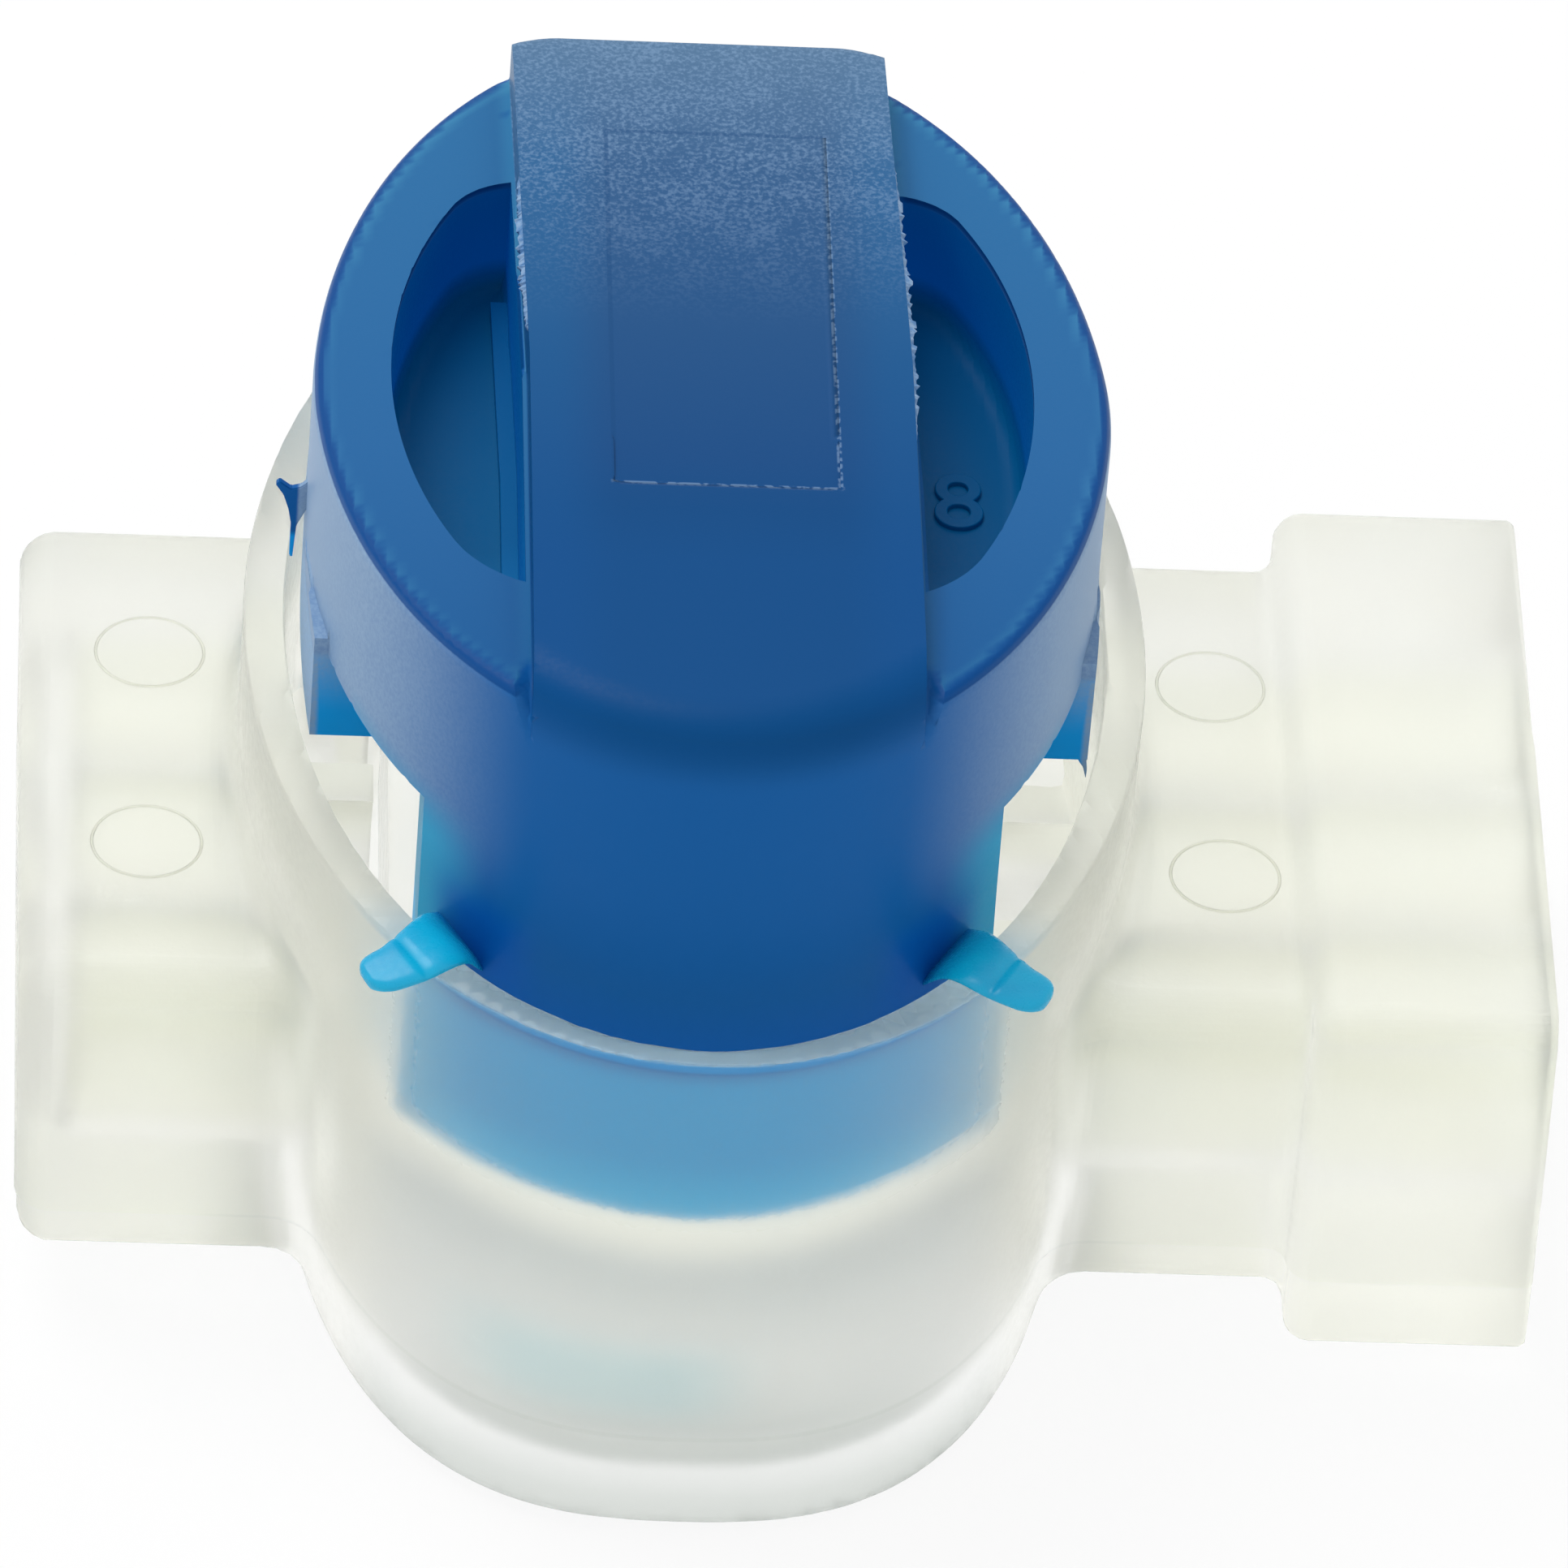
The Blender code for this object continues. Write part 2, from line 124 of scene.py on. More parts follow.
class HousingSizes(PropertyGroup):
    """Sizes of the translucent housing."""
    block_half: length("Block half depth", "Half the depth of the wire block", 7.05)
    block_bottom: length("Block bottom", "Height of the block's underside", 1.25)
    block_top: length("Block top", "Height of the block's top", 8.5)
    block_round: length("Block rounding", "Rounding of the block's edges", 0.75)
    collar_length: length("Collar length", "Length of the collar round the ports", 4.85)
    collar_step_y: length("Collar step across", "How far the collar stands out at the sides", 0.95)
    collar_step_z: length("Collar step up", "How far the collar stands out above and below", 0.7)
    well_x: length("Well place", "Where the press axis stands along the block", -1.85)
    well_rx: length("Well half length", "Half of the oval well along the block", 8.8)
    well_ry: length("Well half depth", "Half of the oval well across the block", 13.15)
    well_taper: length("Well taper", "How far the well draws in along the block at its foot", 1.1)
    wall: length("Wall", "Thickness of the well's wall at the sides", 0.8)
    end_rim: length("Front wall", "Thickness of the well's wall at the front and back", 0.55)
    floor: length("Floor", "Thickness of the well's floor", 0.95)
    fillet: length("Fillet", "Blend between the well and the block", 0.9)
    lip_round: length("Lip rounding", "Rounding of the rim", 0.15)
    parting: length("Parting height", "Height of the line where the mould halves met", 2.5)
    bore: length("Port bore", "Width of a wire port", 3.7)
    pitch: length("Port pitch", "Distance between wire ports", 4.15)
    port_z: length("Port height", "Height of the wire ports", 4.9)
    end_wall: length("End wall", "Wall behind the blind end of the ports", 1.1)
    shoulder_x: length("Shoulder place", "Distance of the inner shoulders from the press axis", 6.0)
    shoulder_half: length("Shoulder half depth", "Half the depth of the inner shoulders", 6.4)
    shoulder_top: length("Shoulder top", "Height of the inner shoulders", 7.8)
    mark_radius: length("Mark radius", "Radius of the ejector marks", 1.07)
    mark_x: length("Mark place along", "Distance of the ejector marks from the press axis", 10.53)
    mark_y: length("Mark place across", "Distance of the ejector marks from the middle", 2.9)


class CapSizes(PropertyGroup):
    """Sizes of the push cap and its tabs."""
    rx: length("Half length", "Half of the oval cap along the block", 7.7)
    ry: length("Half depth", "Half of the oval cap across the block", 11.25)
    lean: length("Lean", "How far the oval's front stands back at the top of the cap", 0.4)
    back_ry: length("Back half depth", "Half depth of the longer oval that the ring's back follows", 12.03)
    back_lean: length("Back lean", "How far that longer oval stands forward", 0.63)
    back: length("Back flat", "Distance of the flat back from the press axis", 10.12)
    ring_top: length("Ring top", "Height of the ring", 17.85)
    head_bottom: length("Head bottom", "Height of the head's underside", 14.0)
    bar_half: length("Bar half width", "Half the width of the raised bar", 3.68)
    bar_arch: length("Bar arch", "How far the bar's top falls towards its front", 0.35)
    bar_round: length("Bar front rounding", "How softly the bar runs down at the front", 0.9)
    pocket_rx: length("Pocket reach", "Distance of the pockets' outer edge from the press axis", 6.19)
    pocket_ry: length("Pocket half oval", "Half depth of the oval that the pockets follow", 8.75)
    pocket_half: length("Pocket half length", "Half the length of the pockets", 6.38)
    pocket_depth: length("Pocket depth", "Depth of the pockets below the ring", 2.55)
    skirt_left: length("Skirt left", "Left edge of the skirts, from the press axis", -5.42)
    skirt_right: length("Skirt right", "Right edge of the skirts, from the press axis", 5.6)
    skirt_wall: length("Skirt wall", "Thickness of the skirts", 1.2)
    skirt_bottom: length("Skirt bottom", "Height of the skirts' lower edge", 7.0)
    skirt_flare: length("Skirt flare", "How far the skirts stand out at their lower edge", 0.45)
    leg_half: length("Leg half depth", "Half the depth of the side legs", 3.7)
    leg_bottom: length("Leg bottom", "Height of the side legs' underside", 12.0)
    panel_low_x: length("Panel left", "Left edge of the panel on the bar", -2.0)
    panel_high_x: length("Panel right", "Right edge of the panel on the bar", 2.3)
    panel_low_y: length("Panel front", "Front edge of the panel on the bar", -3.8)
    panel_high_y: length("Panel back", "Back edge of the panel on the bar", 7.1)
    panel_depth: length("Panel depth", "Depth of the panel on the bar", 0.04)
    tab_sheet: length("Tab sheet", "Thickness of a tab", 0.26)
    tab_lift: length("Tab lift", "How much higher a tab passes over the rim", 0.0)


class Finishes(PropertyGroup):
    """Colours of the pieces."""
    housing: colour("Housing", "Milky plastic of the housing", 0.984, 0.988, 0.926)
    housing_shade: colour("Housing shade", "Cooler streaks in the milky plastic", 0.972, 0.982, 0.930)
    # housing_foot is the near-white middle stop of the painted shade on the well's lower front.
    housing_foot: colour("Housing foot", "Deeper milk of the well's lower front", 0.975, 0.985, 0.970)
    bar: colour("Bar", "Deep blue of the bar's front", 0.0, 0.064, 0.222)
    slate: colour("Slate", "Greyer blue of the bar's middle", 0.004, 0.062, 0.208)
    # The bar's colour turns paler and grained towards its back end.
    bar_back_pale: colour("Worn", "Pale grained blue at the bar's back end", 0.088, 0.178, 0.305)
    ring: colour("Ring", "Blue of the ring", 0.036, 0.192, 0.406)
    ring_front: colour("Ring front", "Deeper blue of the ring's front", 0.012, 0.124, 0.312)
    ring_back: colour("Ring back", "Lighter blue of the ring's back", 0.050, 0.258, 0.455)
    pocket: colour("Pocket", "Teal of the pockets' floors", 0.0, 0.110, 0.275)
    skirt: colour("Skirt", "Blue of the skirts", 0.004, 0.108, 0.362)
    # Painted light on the lower skirt: a light blue in place of the light that comes through the thin
    # plastic.
    glow: colour("Glow", "Light blue of the thin lower skirt", 0.012, 0.29, 0.60)
    # Painted sheen: a pale blue painted on the side walls for the sheen they catch at a grazing view.
    painted_side_sheen: colour("Flank", "Pale dusty blue of the side walls", 0.25, 0.38, 0.555)
    # Also painted as a highlight along the right and front edges of the bar's panel.
    flash: colour("Flash", "Pale blue of thin flash and scuffs", 0.24, 0.38, 0.58)
    tab: colour("Tab", "Cyan of the thin tabs", 0.003, 0.37, 0.61)
    gel: colour("Gel", "Clear gel", 0.995, 0.995, 0.985)
    tin: colour("Tin", "Tin plating of the contact", 0.72, 0.71, 0.67)


class StageSizes(PropertyGroup):
    """Camera, lights and floor."""
    lens: FloatProperty(name="Lens", description="Focal length in millimetres", default=309.98)
    distance: length("Distance", "Distance of the camera", 265.4)
    azimuth: FloatProperty(name="Azimuth", description="Camera's turn round the part",
                           default=math.radians(-4.023), subtype='ANGLE')
    elevation: FloatProperty(name="Elevation", description="Camera's height angle",
                             default=math.radians(39.776), subtype='ANGLE')
    roll: FloatProperty(name="Roll", description="Camera's turn about its view",
                        default=math.radians(4.447), subtype='ANGLE')
    ambient: FloatProperty(name="Ambient", description="Strength of the white surround", default=0.72)
    key: FloatProperty(name="Key", description="Power of the soft key light in watts", default=0.55)


# Shapes as distance fields, in millimetres

def smooth_union(a, b, blend):
    """The nearer of two shapes, with a fillet where they meet."""
    near = np.maximum(blend - np.abs(a - b), 0.0) / blend
    return np.minimum(a, b) - near * near * blend * 0.25


def smooth_both(a, b, blend):
    """What two shapes share, with a rounded edge."""
    return -smooth_union(-a, -b, blend)


def smooth_cut(a, b, blend):
    """The first shape without the second, with a rounded edge."""
    return smooth_both(a, -b, blend)


def soft_step(value):
    """Rises smoothly from 0 to 1 while the value does."""
    share = np.clip(value, 0.0, 1.0)
    return share * share * (3.0 - 2.0 * share)


def rounded_box(x, y, z, low, high, rounding):
    """A box between two corners with rounded edges."""
    gaps = [np.abs(value - (a + b) / 2) - (b - a) / 2 + rounding
            for value, a, b in zip((x, y, z), low, high)]
    outside = np.sqrt(sum(np.maximum(gap, 0.0) ** 2 for gap in gaps))
    inside = np.minimum(np.maximum(np.maximum(gaps[0], gaps[1]), gaps[2]), 0.0)
    return outside + inside - rounding


def oval_distance(x, y, rx, ry, power=2.0):
    """Distance from an upright oval, squarer with a higher power."""
    across, along = np.abs(x) / rx, np.abs(y) / ry
    size = np.maximum(across ** power + along ** power, 1e-6) ** (1.0 / power)
    slope = np.sqrt((across ** (power - 1.0) / rx) ** 2 + (along ** (power - 1.0) / ry) ** 2)
    return (size - 1.0) / np.maximum(slope * size ** (1.0 - power), 0.02)


def in_mm(sizes):
    """The sizes of a property group in millimetres."""
    names = type(sizes).__annotations__
    return {name: getattr(sizes, name) / MM for name in names}


def well_outline(size, x, y, z, inset, end_inset, upright):
    """The oval well drawn in by an inset, narrower and squarer towards its foot."""
    low = 1.0 - np.clip(z / upright, 0.0, 1.0)
    rx = size["well_rx"] - inset - size["well_taper"] * low
    ry = size["well_ry"] - end_inset - 0.1 * low
    return oval_distance(x - size["well_x"] - 0.1 * low, y, rx, ry, 2.0 + 0.6 * low)


def housing_field(size):
    """Distance from the housing's surface."""
    left, right = HOUSING_LOW.x / MM, HOUSING_HIGH.x / MM
    rim = HOUSING_HIGH.z / MM
    half, bottom, top = size["block_half"], size["block_bottom"], size["block_top"]
    step_y, step_z = size["collar_step_y"], size["collar_step_z"]
    collar = right - size["collar_length"]
    bore = size["bore"] / 2

    def field(x, y, z):
        front = np.clip((half - y) / (2.0 * half), 0.0, 1.0)
        height = np.clip((z - bottom) / (top - bottom), 0.0, 1.0)
        draft_left = (0.2 * front + 0.1 * (1.0 - height)) * soft_step((-9.0 - x) / 6.0)
        draft_right = 0.15 * front * height * soft_step((x - 12.0) / 3.0)
        lean_x = x - draft_left + draft_right
        ledge = 0.06 * soft_step((size["parting"] - z) / 0.05)
        solid = rounded_box(lean_x, y, z, (left, -half, bottom), (collar + 2.0, half, top),
                            size["block_round"]) + ledge
        ring = rounded_box(lean_x, y, z, (collar, -half - step_y, bottom - step_z),
                           (right + 2.0, half + step_y, top + step_z), 0.6) + ledge
        ring = smooth_both(ring, lean_x - right, 0.2)
        solid = smooth_union(solid, ring, 0.5)
        well = well_outline(size, x, y, z, 0.0, 0.0, top)
        well = smooth_both(smooth_both(well, z - rim, size["lip_round"]), -z, 0.7)
        solid = smooth_union(solid, well, size["fillet"])
        solid = np.maximum(solid, -z)

        along = np.abs(x - size["well_x"])
        wall = well_outline(size, x, y, z, size["wall"], size["end_rim"], 6.0)
        inner = smooth_both(wall, size["floor"] - z, FLOOR_FILLET)
        shoulder = smooth_both(size["shoulder_x"] - along, np.abs(y) - size["shoulder_half"], SHOULDER_ROUND)
        shoulder = smooth_both(shoulder, z - size["shoulder_top"], SHOULDER_ROUND)
        pocket = np.maximum(np.maximum(LEG_ROOM_X - along, np.abs(y) - LEG_ROOM_HALF), LEG_ROOM_LOW - z)
        inner = smooth_both(inner, -np.maximum(shoulder, -pocket), SHOULDER_FILLET)
        for index in (-1, 0, 1):
            flare = 0.3 * np.clip((x - right + 0.8) / 0.8, 0.0, 2.0)
            tube = np.sqrt((y - index * size["pitch"]) ** 2 + (z - size["port_z"]) ** 2) - bore - flare
            inner = np.minimum(inner, smooth_both(tube, left + size["end_wall"] - x, 0.5))
        return smooth_cut(solid, inner, size["lip_round"])

    return field


def cap_field(size, middle):
    """Distance from the push cap's surface."""
    ring_top, head_bottom = size["ring_top"], size["head_bottom"]
    rim, wall = HOUSING_HIGH.z / MM, size["skirt_wall"]

    def field(x, y, z):
        along = x - middle
        side = np.abs(along)
        lean = np.clip((z - size["leg_bottom"]) / (ring_top - size["leg_bottom"]), 0.0, 1.0)
        behind = (y + size["back_lean"] * lean) * (1.0 + lean * (size["ry"] / size["back_ry"] - 1.0))
        depth = smooth_both(behind, size["lean"] * lean - y, 1.5)
        askew = along + 0.014 * lean * np.maximum(y, 0.0)
        flare = size["skirt_flare"] * np.clip((rim - z) / (rim - size["skirt_bottom"]), 0.0, 1.0)
        body = oval_distance(askew, depth, size["rx"], size["ry"]) - flare
        body = smooth_both(body, y - size["back"], 0.5)
        leg = np.maximum(oval_distance(along, y, size["rx"], 1.5 * size["ry"]), z - head_bottom - 0.4)
        leg = np.maximum(np.maximum(leg, np.abs(y) - size["leg_half"]), size["leg_bottom"] - z)

        level = z - bar_height(size, y)
        front = soft_step((-y - 4.0) / 5.0)
        bar = smooth_both(body, level, 0.2 + size["bar_round"] * front)
        beside = np.abs(along - bar_line(y)) - size["bar_half"]
        bar = np.maximum(bar, beside)
        panel = np.maximum(np.maximum(size["panel_low_x"] - along, along - size["panel_high_x"]),
                           np.maximum(size["panel_low_y"] - y, y - size["panel_high_y"]))
        bar = np.maximum(bar, -np.maximum(panel, -level - size["panel_depth"]))
        near_bar = front * soft_step(1.0 - beside / 0.4)
        ring = smooth_both(body, z - ring_top, 0.3 + (size["bar_round"] - 0.1) * near_bar)
        head = np.minimum(np.maximum(ring, -beside - 0.06), bar)

        hole = oval_distance(along, y - 0.3, size["pocket_rx"], size["pocket_ry"])
        hole = smooth_both(hole, y - size["pocket_half"], 0.9)
        hole = smooth_both(hole, -y - size["pocket_half"], 1.6)
        hole = np.maximum(hole, 0.1 - beside)
        floor = ring_top - size["pocket_depth"]
        strip = np.maximum(np.maximum(beside - 0.42, z - floor - 0.3), np.abs(y) - 5.4)
        hole = np.maximum(smooth_both(hole, floor - z, 0.4), -strip)
        head = np.maximum(head, -hole)

        off = np.maximum(size["skirt_left"] - along, along - size["skirt_right"])
        shape = np.maximum(head, -np.maximum(-off, z - head_bottom))
        shape = np.minimum(shape, leg)
        hollow = oval_distance(along, y, size["rx"] - wall, size["ry"] - wall)
        hollow = np.maximum(hollow, y - size["back"] + wall)
        hollow = smooth_both(hollow, z - head_bottom - 0.25, 0.3)
        shape = np.maximum(shape, -hollow)
        shape = smooth_both(shape, size["skirt_bottom"] - z, 0.3)
        for place in (-2.075, 2.075):
            post = np.maximum(np.sqrt(along ** 2 + (y - place) ** 2) - 0.6, 13.05 - z)
            shape = np.minimum(shape, np.maximum(post, z - 15.0))
        return shape

    return field


def bar_line(y):
    """The middle of the bar, which stands a little askew."""
    return BAR_SHIFT - BAR_SLANT * np.maximum(y, 0.0)


def bar_height(size, y):
    """The height of the bar's top, level at the back and falling towards the front."""
    return CAP_HIGH.z / MM - size["bar_arch"] * (np.minimum(y - 0.5, 0.0) / 10.0) ** 2


def gel_field(size):
    """Distance from the gel's surface, with its edge drawn up against the walls."""
    low, high = GEL_LOW.z / MM, GEL_HIGH.z / MM

    def field(x, y, z):
        wall = well_outline(size, x, y, z, size["wall"] + 0.3, size["wall"] + 0.3, 6.0)
        wall = smooth_both(wall, np.abs(x - size["well_x"]) - size["shoulder_x"] + 0.3, 0.4)
        top = high - 0.2 + 0.2 * np.exp(np.minimum(wall, 0.0) / 0.8)
        return smooth_both(smooth_both(wall, z - top, 0.6), low - z, 0.6)

    return field


# Meshes

def grid_line(low, high, coarse, fine, places, reach):
    """Places from low to high, closer together near the given ones."""
    points = [low - 2.0 * coarse]
    while points[-1] < high + 1.5 * coarse:
        here = points[-1]
        close = any(abs(here - place) < reach for place in places)
        points.append(here + (fine if close else coarse))
    return np.array(points)


def slopes(field, points, reach=0.004):
    """The field's direction of steepest rise at each point."""
    found = np.empty_like(points)
    for axis in range(3):
        shift = np.zeros(3)
        shift[axis] = reach
        found[:, axis] = field(*(points + shift).T) - field(*(points - shift).T)
    return found / np.maximum(np.linalg.norm(found, axis=1, keepdims=True), 1e-9)


def grid_points(lines, places):
    """The grid's points at the given steps along its lines."""
    return np.stack([line[steps] for line, steps in zip(lines, places.T)], 1)


def crossings(field, lines, values, axis):
    """Grid edges along an axis that the surface crosses, with the crossing points and which way is out."""
    step = np.eye(3, dtype=int)[axis]
    count = values.shape[axis]
    lower, upper = (np.take(values, range(first, count - 1 + first), axis) < 0.0 for first in (0, 1))
    places = np.argwhere(lower != upper)
    start, end = grid_points(lines, places), grid_points(lines, places + step)
    near, far = values[tuple(places.T)], values[tuple((places + step).T)]
    leaving = near < 0.0
    low, high = np.zeros(len(places)), np.ones(len(places))
    for _ in range(5):
        share = low + (high - low) * near / (near - far)
        points = start + (end - start) * share[:, None]
        found = field(*points.T)
        same = (found < 0.0) == leaving
        low, near = np.where(same, share, low), np.where(same, found, near)
        high, far = np.where(same, high, share), np.where(same, far, found)
    return places, points, leaving


def skin(name, field, lines):
    """A closed mesh over the zero surface of a field. Each grid cell that the surface crosses gets one point,
    where the surface's tangent planes meet, so sharp edges stay sharp and round ones round."""
    grid = np.meshgrid(*lines, indexing="ij", sparse=True)
    values = np.broadcast_to(field(*grid), [len(line) for line in lines])
    cells = [len(line) - 1 for line in lines]
    rings, hits, ways = [], [], []
    for axis in range(3):
        places, points, leaving = crossings(field, lines, values, axis)
        u, v = np.eye(3, dtype=int)[(axis + 1) % 3], np.eye(3, dtype=int)[(axis + 2) % 3]
        around = np.stack([places - u - v, places - v, places, places - u], 1)
        around[~leaving] = around[~leaving][:, ::-1]
        rings.append(np.ravel_multi_index(around.reshape(-1, 3).T, cells))
        hits.append(np.repeat(points, 4, 0))
        ways.append(np.repeat(slopes(field, points), 4, 0))
    hits, ways = np.concatenate(hits), np.concatenate(ways)
    used, owner = np.unique(np.concatenate(rings), return_inverse=True)
    middle, planes, pulls = np.zeros((len(used), 3)), np.zeros((len(used), 3, 3)), np.zeros((len(used), 3))
    np.add.at(middle, owner, hits)
    middle /= np.bincount(owner)[:, None]
    np.add.at(planes, owner, ways[:, :, None] * ways[:, None, :])
    np.add.at(pulls, owner, ways * ((hits - middle[owner]) * ways).sum(1, keepdims=True))
    strength, axes = np.linalg.eigh(planes)
    firm = strength > 0.06 * strength[:, 2:]
    along = np.einsum("nji,nj->ni", axes, pulls)
    moves = np.where(firm, along / np.where(firm, strength, 1.0), 0.0)
    corner = np.stack(np.unravel_index(used, cells), 1)
    points = np.clip(middle + np.einsum("nij,nj->ni", axes, moves), grid_points(lines, corner),
                     grid_points(lines, corner + 1))
    points = np.clip(points, np.array(CAD_BOX[0]) / MM, np.array(CAD_BOX[1]) / MM)

    quads = owner.reshape(-1, 4)
    corners = points[quads]
    beside = corners + 0.3 * (corners.mean(1, keepdims=True) - corners)
    normals = slopes(field, beside.reshape(-1, 3))
    mesh = bpy.data.meshes.new(name)
    mesh.from_pydata((points * MM).tolist(), [], quads.tolist())
    mesh.shade_smooth()
    mesh.normals_split_custom_set(normals.tolist())
    return mesh


def place_piece(name, mesh, look, body, slot, *nodes):
    """Shows a mesh as a piece that rides on a body and stands for its nodes."""
    made = bpy.data.objects.new(name, mesh)
    bpy.context.scene.collection.objects.link(made)
    mesh.materials.clear()
    mesh.materials.append(look)
    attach(made, body)
    if nodes:
        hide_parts(*nodes)
    return made


# Finishes

class Graph:
    """A node tree under construction."""

    def __init__(self, tree):
        self.tree = tree

    def add(self, kind, settings=None, inputs=None):
        """A node with its settings, and its inputs set or linked."""
        made = self.tree.nodes.new(kind)
        for name, value in (settings or {}).items():
            setattr(made, name, value)
        for name, value in (inputs or {}).items():
            self.feed(made.inputs[name], value)
        return made

    def feed(self, socket, value):
        """Links a socket to an output, or sets it."""
        if isinstance(value, bpy.types.NodeSocket):
            self.tree.links.new(value, socket)
        else:
            socket.default_value = value

    def math(self, operation, first, second=0.0):
        return self.add("ShaderNodeMath", {"operation": operation}, {0: first, 1: second}).outputs[0]

    def mix(self, share, first, second):
        """One colour turning into another."""
        made = self.add("ShaderNodeMix", {"data_type": 'RGBA'}, {0: share, 6: first, 7: second})
        return made.outputs[2]

    def ramp(self, value, low, high, start=0.0, end=1.0):
        """A soft step of a value from one level to another."""
        made = self.add("ShaderNodeMapRange", {"interpolation_type": 'SMOOTHSTEP'},
                        {"Value": value, "From Min": low, "From Max": high, "To Min": start, "To Max": end})
        return made.outputs["Result"]

    def stops(self, value, places):
        """A colour that runs through the given ones as a value passes their places."""
        low, high = places[0][0], places[-1][0]
        share = self.add("ShaderNodeMapRange", None, {"Value": value, "From Min": low, "From Max": high})
        made = self.add("ShaderNodeValToRGB", None, {"Fac": share.outputs["Result"]})
        steps = made.color_ramp.elements
        steps[0].color, steps[1].color = solid_colour(places[0][1]), solid_colour(places[-1][1])
        for place, tone in places[1:-1]:
            steps.new((place - low) / (high - low)).color = solid_colour(tone)
        return made.outputs["Color"]

    def both(self, *masks):
        """The product of masks."""
        product_so_far = masks[0]
        for mask in masks[1:]:
            product_so_far = self.math('MULTIPLY', product_so_far, mask)
        return product_so_far

    def group(self, tree, inputs):
        return self.add("ShaderNodeGroup", {"node_tree": tree}, inputs)


def solid_colour(value):
    return (*value, 1.0)


def new_group(name, inputs, outputs):
    """An empty shader group with named sockets."""
    tree = bpy.data.node_groups.new(name, "ShaderNodeTree")
    for label, kind, default in inputs:
        socket = tree.interface.new_socket(label, in_out='INPUT', socket_type=kind)
        if default is not None:
            socket.default_value = default
    for label, kind in outputs:
        tree.interface.new_socket(label, in_out='OUTPUT', socket_type=kind)
    graph = Graph(tree)
    return tree, graph, graph.add("NodeGroupInput").outputs, graph.add("NodeGroupOutput")


def grain_group():
    """Fine moulded grain: a speckle mask and a height."""
    found = bpy.data.node_groups.get("moulded_grain")
    if found:
        return found
    tree, graph, given, result = new_group(
        "moulded_grain",
        [("Vector", "NodeSocketVector", None), ("Grain", "NodeSocketFloat", 9000.0)],
        [("Speckle", "NodeSocketFloat"), ("Height", "NodeSocketFloat")])
    fine = graph.add("ShaderNodeTexNoise", None, {"Vector": given["Vector"], "Scale": given["Grain"],
                                                  "Detail": 2.0, "Roughness": 0.6})
    broad = graph.add("ShaderNodeTexNoise", None, {
        "Vector": given["Vector"], "Scale": graph.math('MULTIPLY', given["Grain"], 0.09),
        "Detail": 2.0, "Roughness": 0.5})
    lifted = graph.math('ADD', fine.outputs[0], graph.math('MULTIPLY', broad.outputs[0], 0.25))
    graph.feed(result.inputs["Speckle"], graph.ramp(lifted, 0.52, 0.84))
    graph.feed(result.inputs["Height"], lifted)
    return tree


def band_group():
    """A soft-edged band of a value round a middle."""
    found = bpy.data.node_groups.get("soft_band")
    if found:
        return found
    tree, graph, given, result = new_group(
        "soft_band",
        [("Value", "NodeSocketFloat", 0.0), ("Middle", "NodeSocketFloat", 0.0),
         ("Half Width", "NodeSocketFloat", 0.001), ("Softness", "NodeSocketFloat", 0.0005)],
        [("Mask", "NodeSocketFloat")])
    off = graph.math('ABSOLUTE', graph.math('SUBTRACT', given["Value"], given["Middle"]))
    outer = graph.math('ADD', given["Half Width"], given["Softness"])
    graph.feed(result.inputs["Mask"], graph.ramp(off, given["Half Width"], outer, 1.0, 0.0))
    return tree


class Finish(Graph):
    """A material with one Principled shader and the piece's own coordinates in metres."""

    def __init__(self, name):
        self.material = bpy.data.materials.new(name)
        self.material.use_nodes = True
        super().__init__(self.material.node_tree)
        self.shader = self.tree.nodes["Principled BSDF"]
        self.place = self.add("ShaderNodeTexCoord").outputs["Object"]
        parts = self.add("ShaderNodeSeparateXYZ", None, {0: self.place})
        self.x, self.y, self.z = parts.outputs

    def set(self, **values):
        """Sets or links the shader's inputs."""
        for name, value in values.items():
            self.feed(self.shader.inputs[name.replace("_", " ")], value)

    def band(self, value, middle, half, soft):
        made = self.group(band_group(), {"Value": value, "Middle": middle, "Half Width": half,
                                         "Softness": soft})
        return made.outputs["Mask"]

    def grain(self, scale):
        return self.group(grain_group(), {"Vector": self.place, "Grain": scale})

    def clouds(self, scale, detail=2.0):
        made = self.add("ShaderNodeTexNoise", None,
                        {"Vector": self.place, "Scale": scale, "Detail": detail})
        return made.outputs[0]

    def bump(self, height, strength, depth):
        made = self.add("ShaderNodeBump", None, {"Strength": strength, "Distance": depth, "Height": height})
        self.feed(self.shader.inputs["Normal"], made.outputs[0])


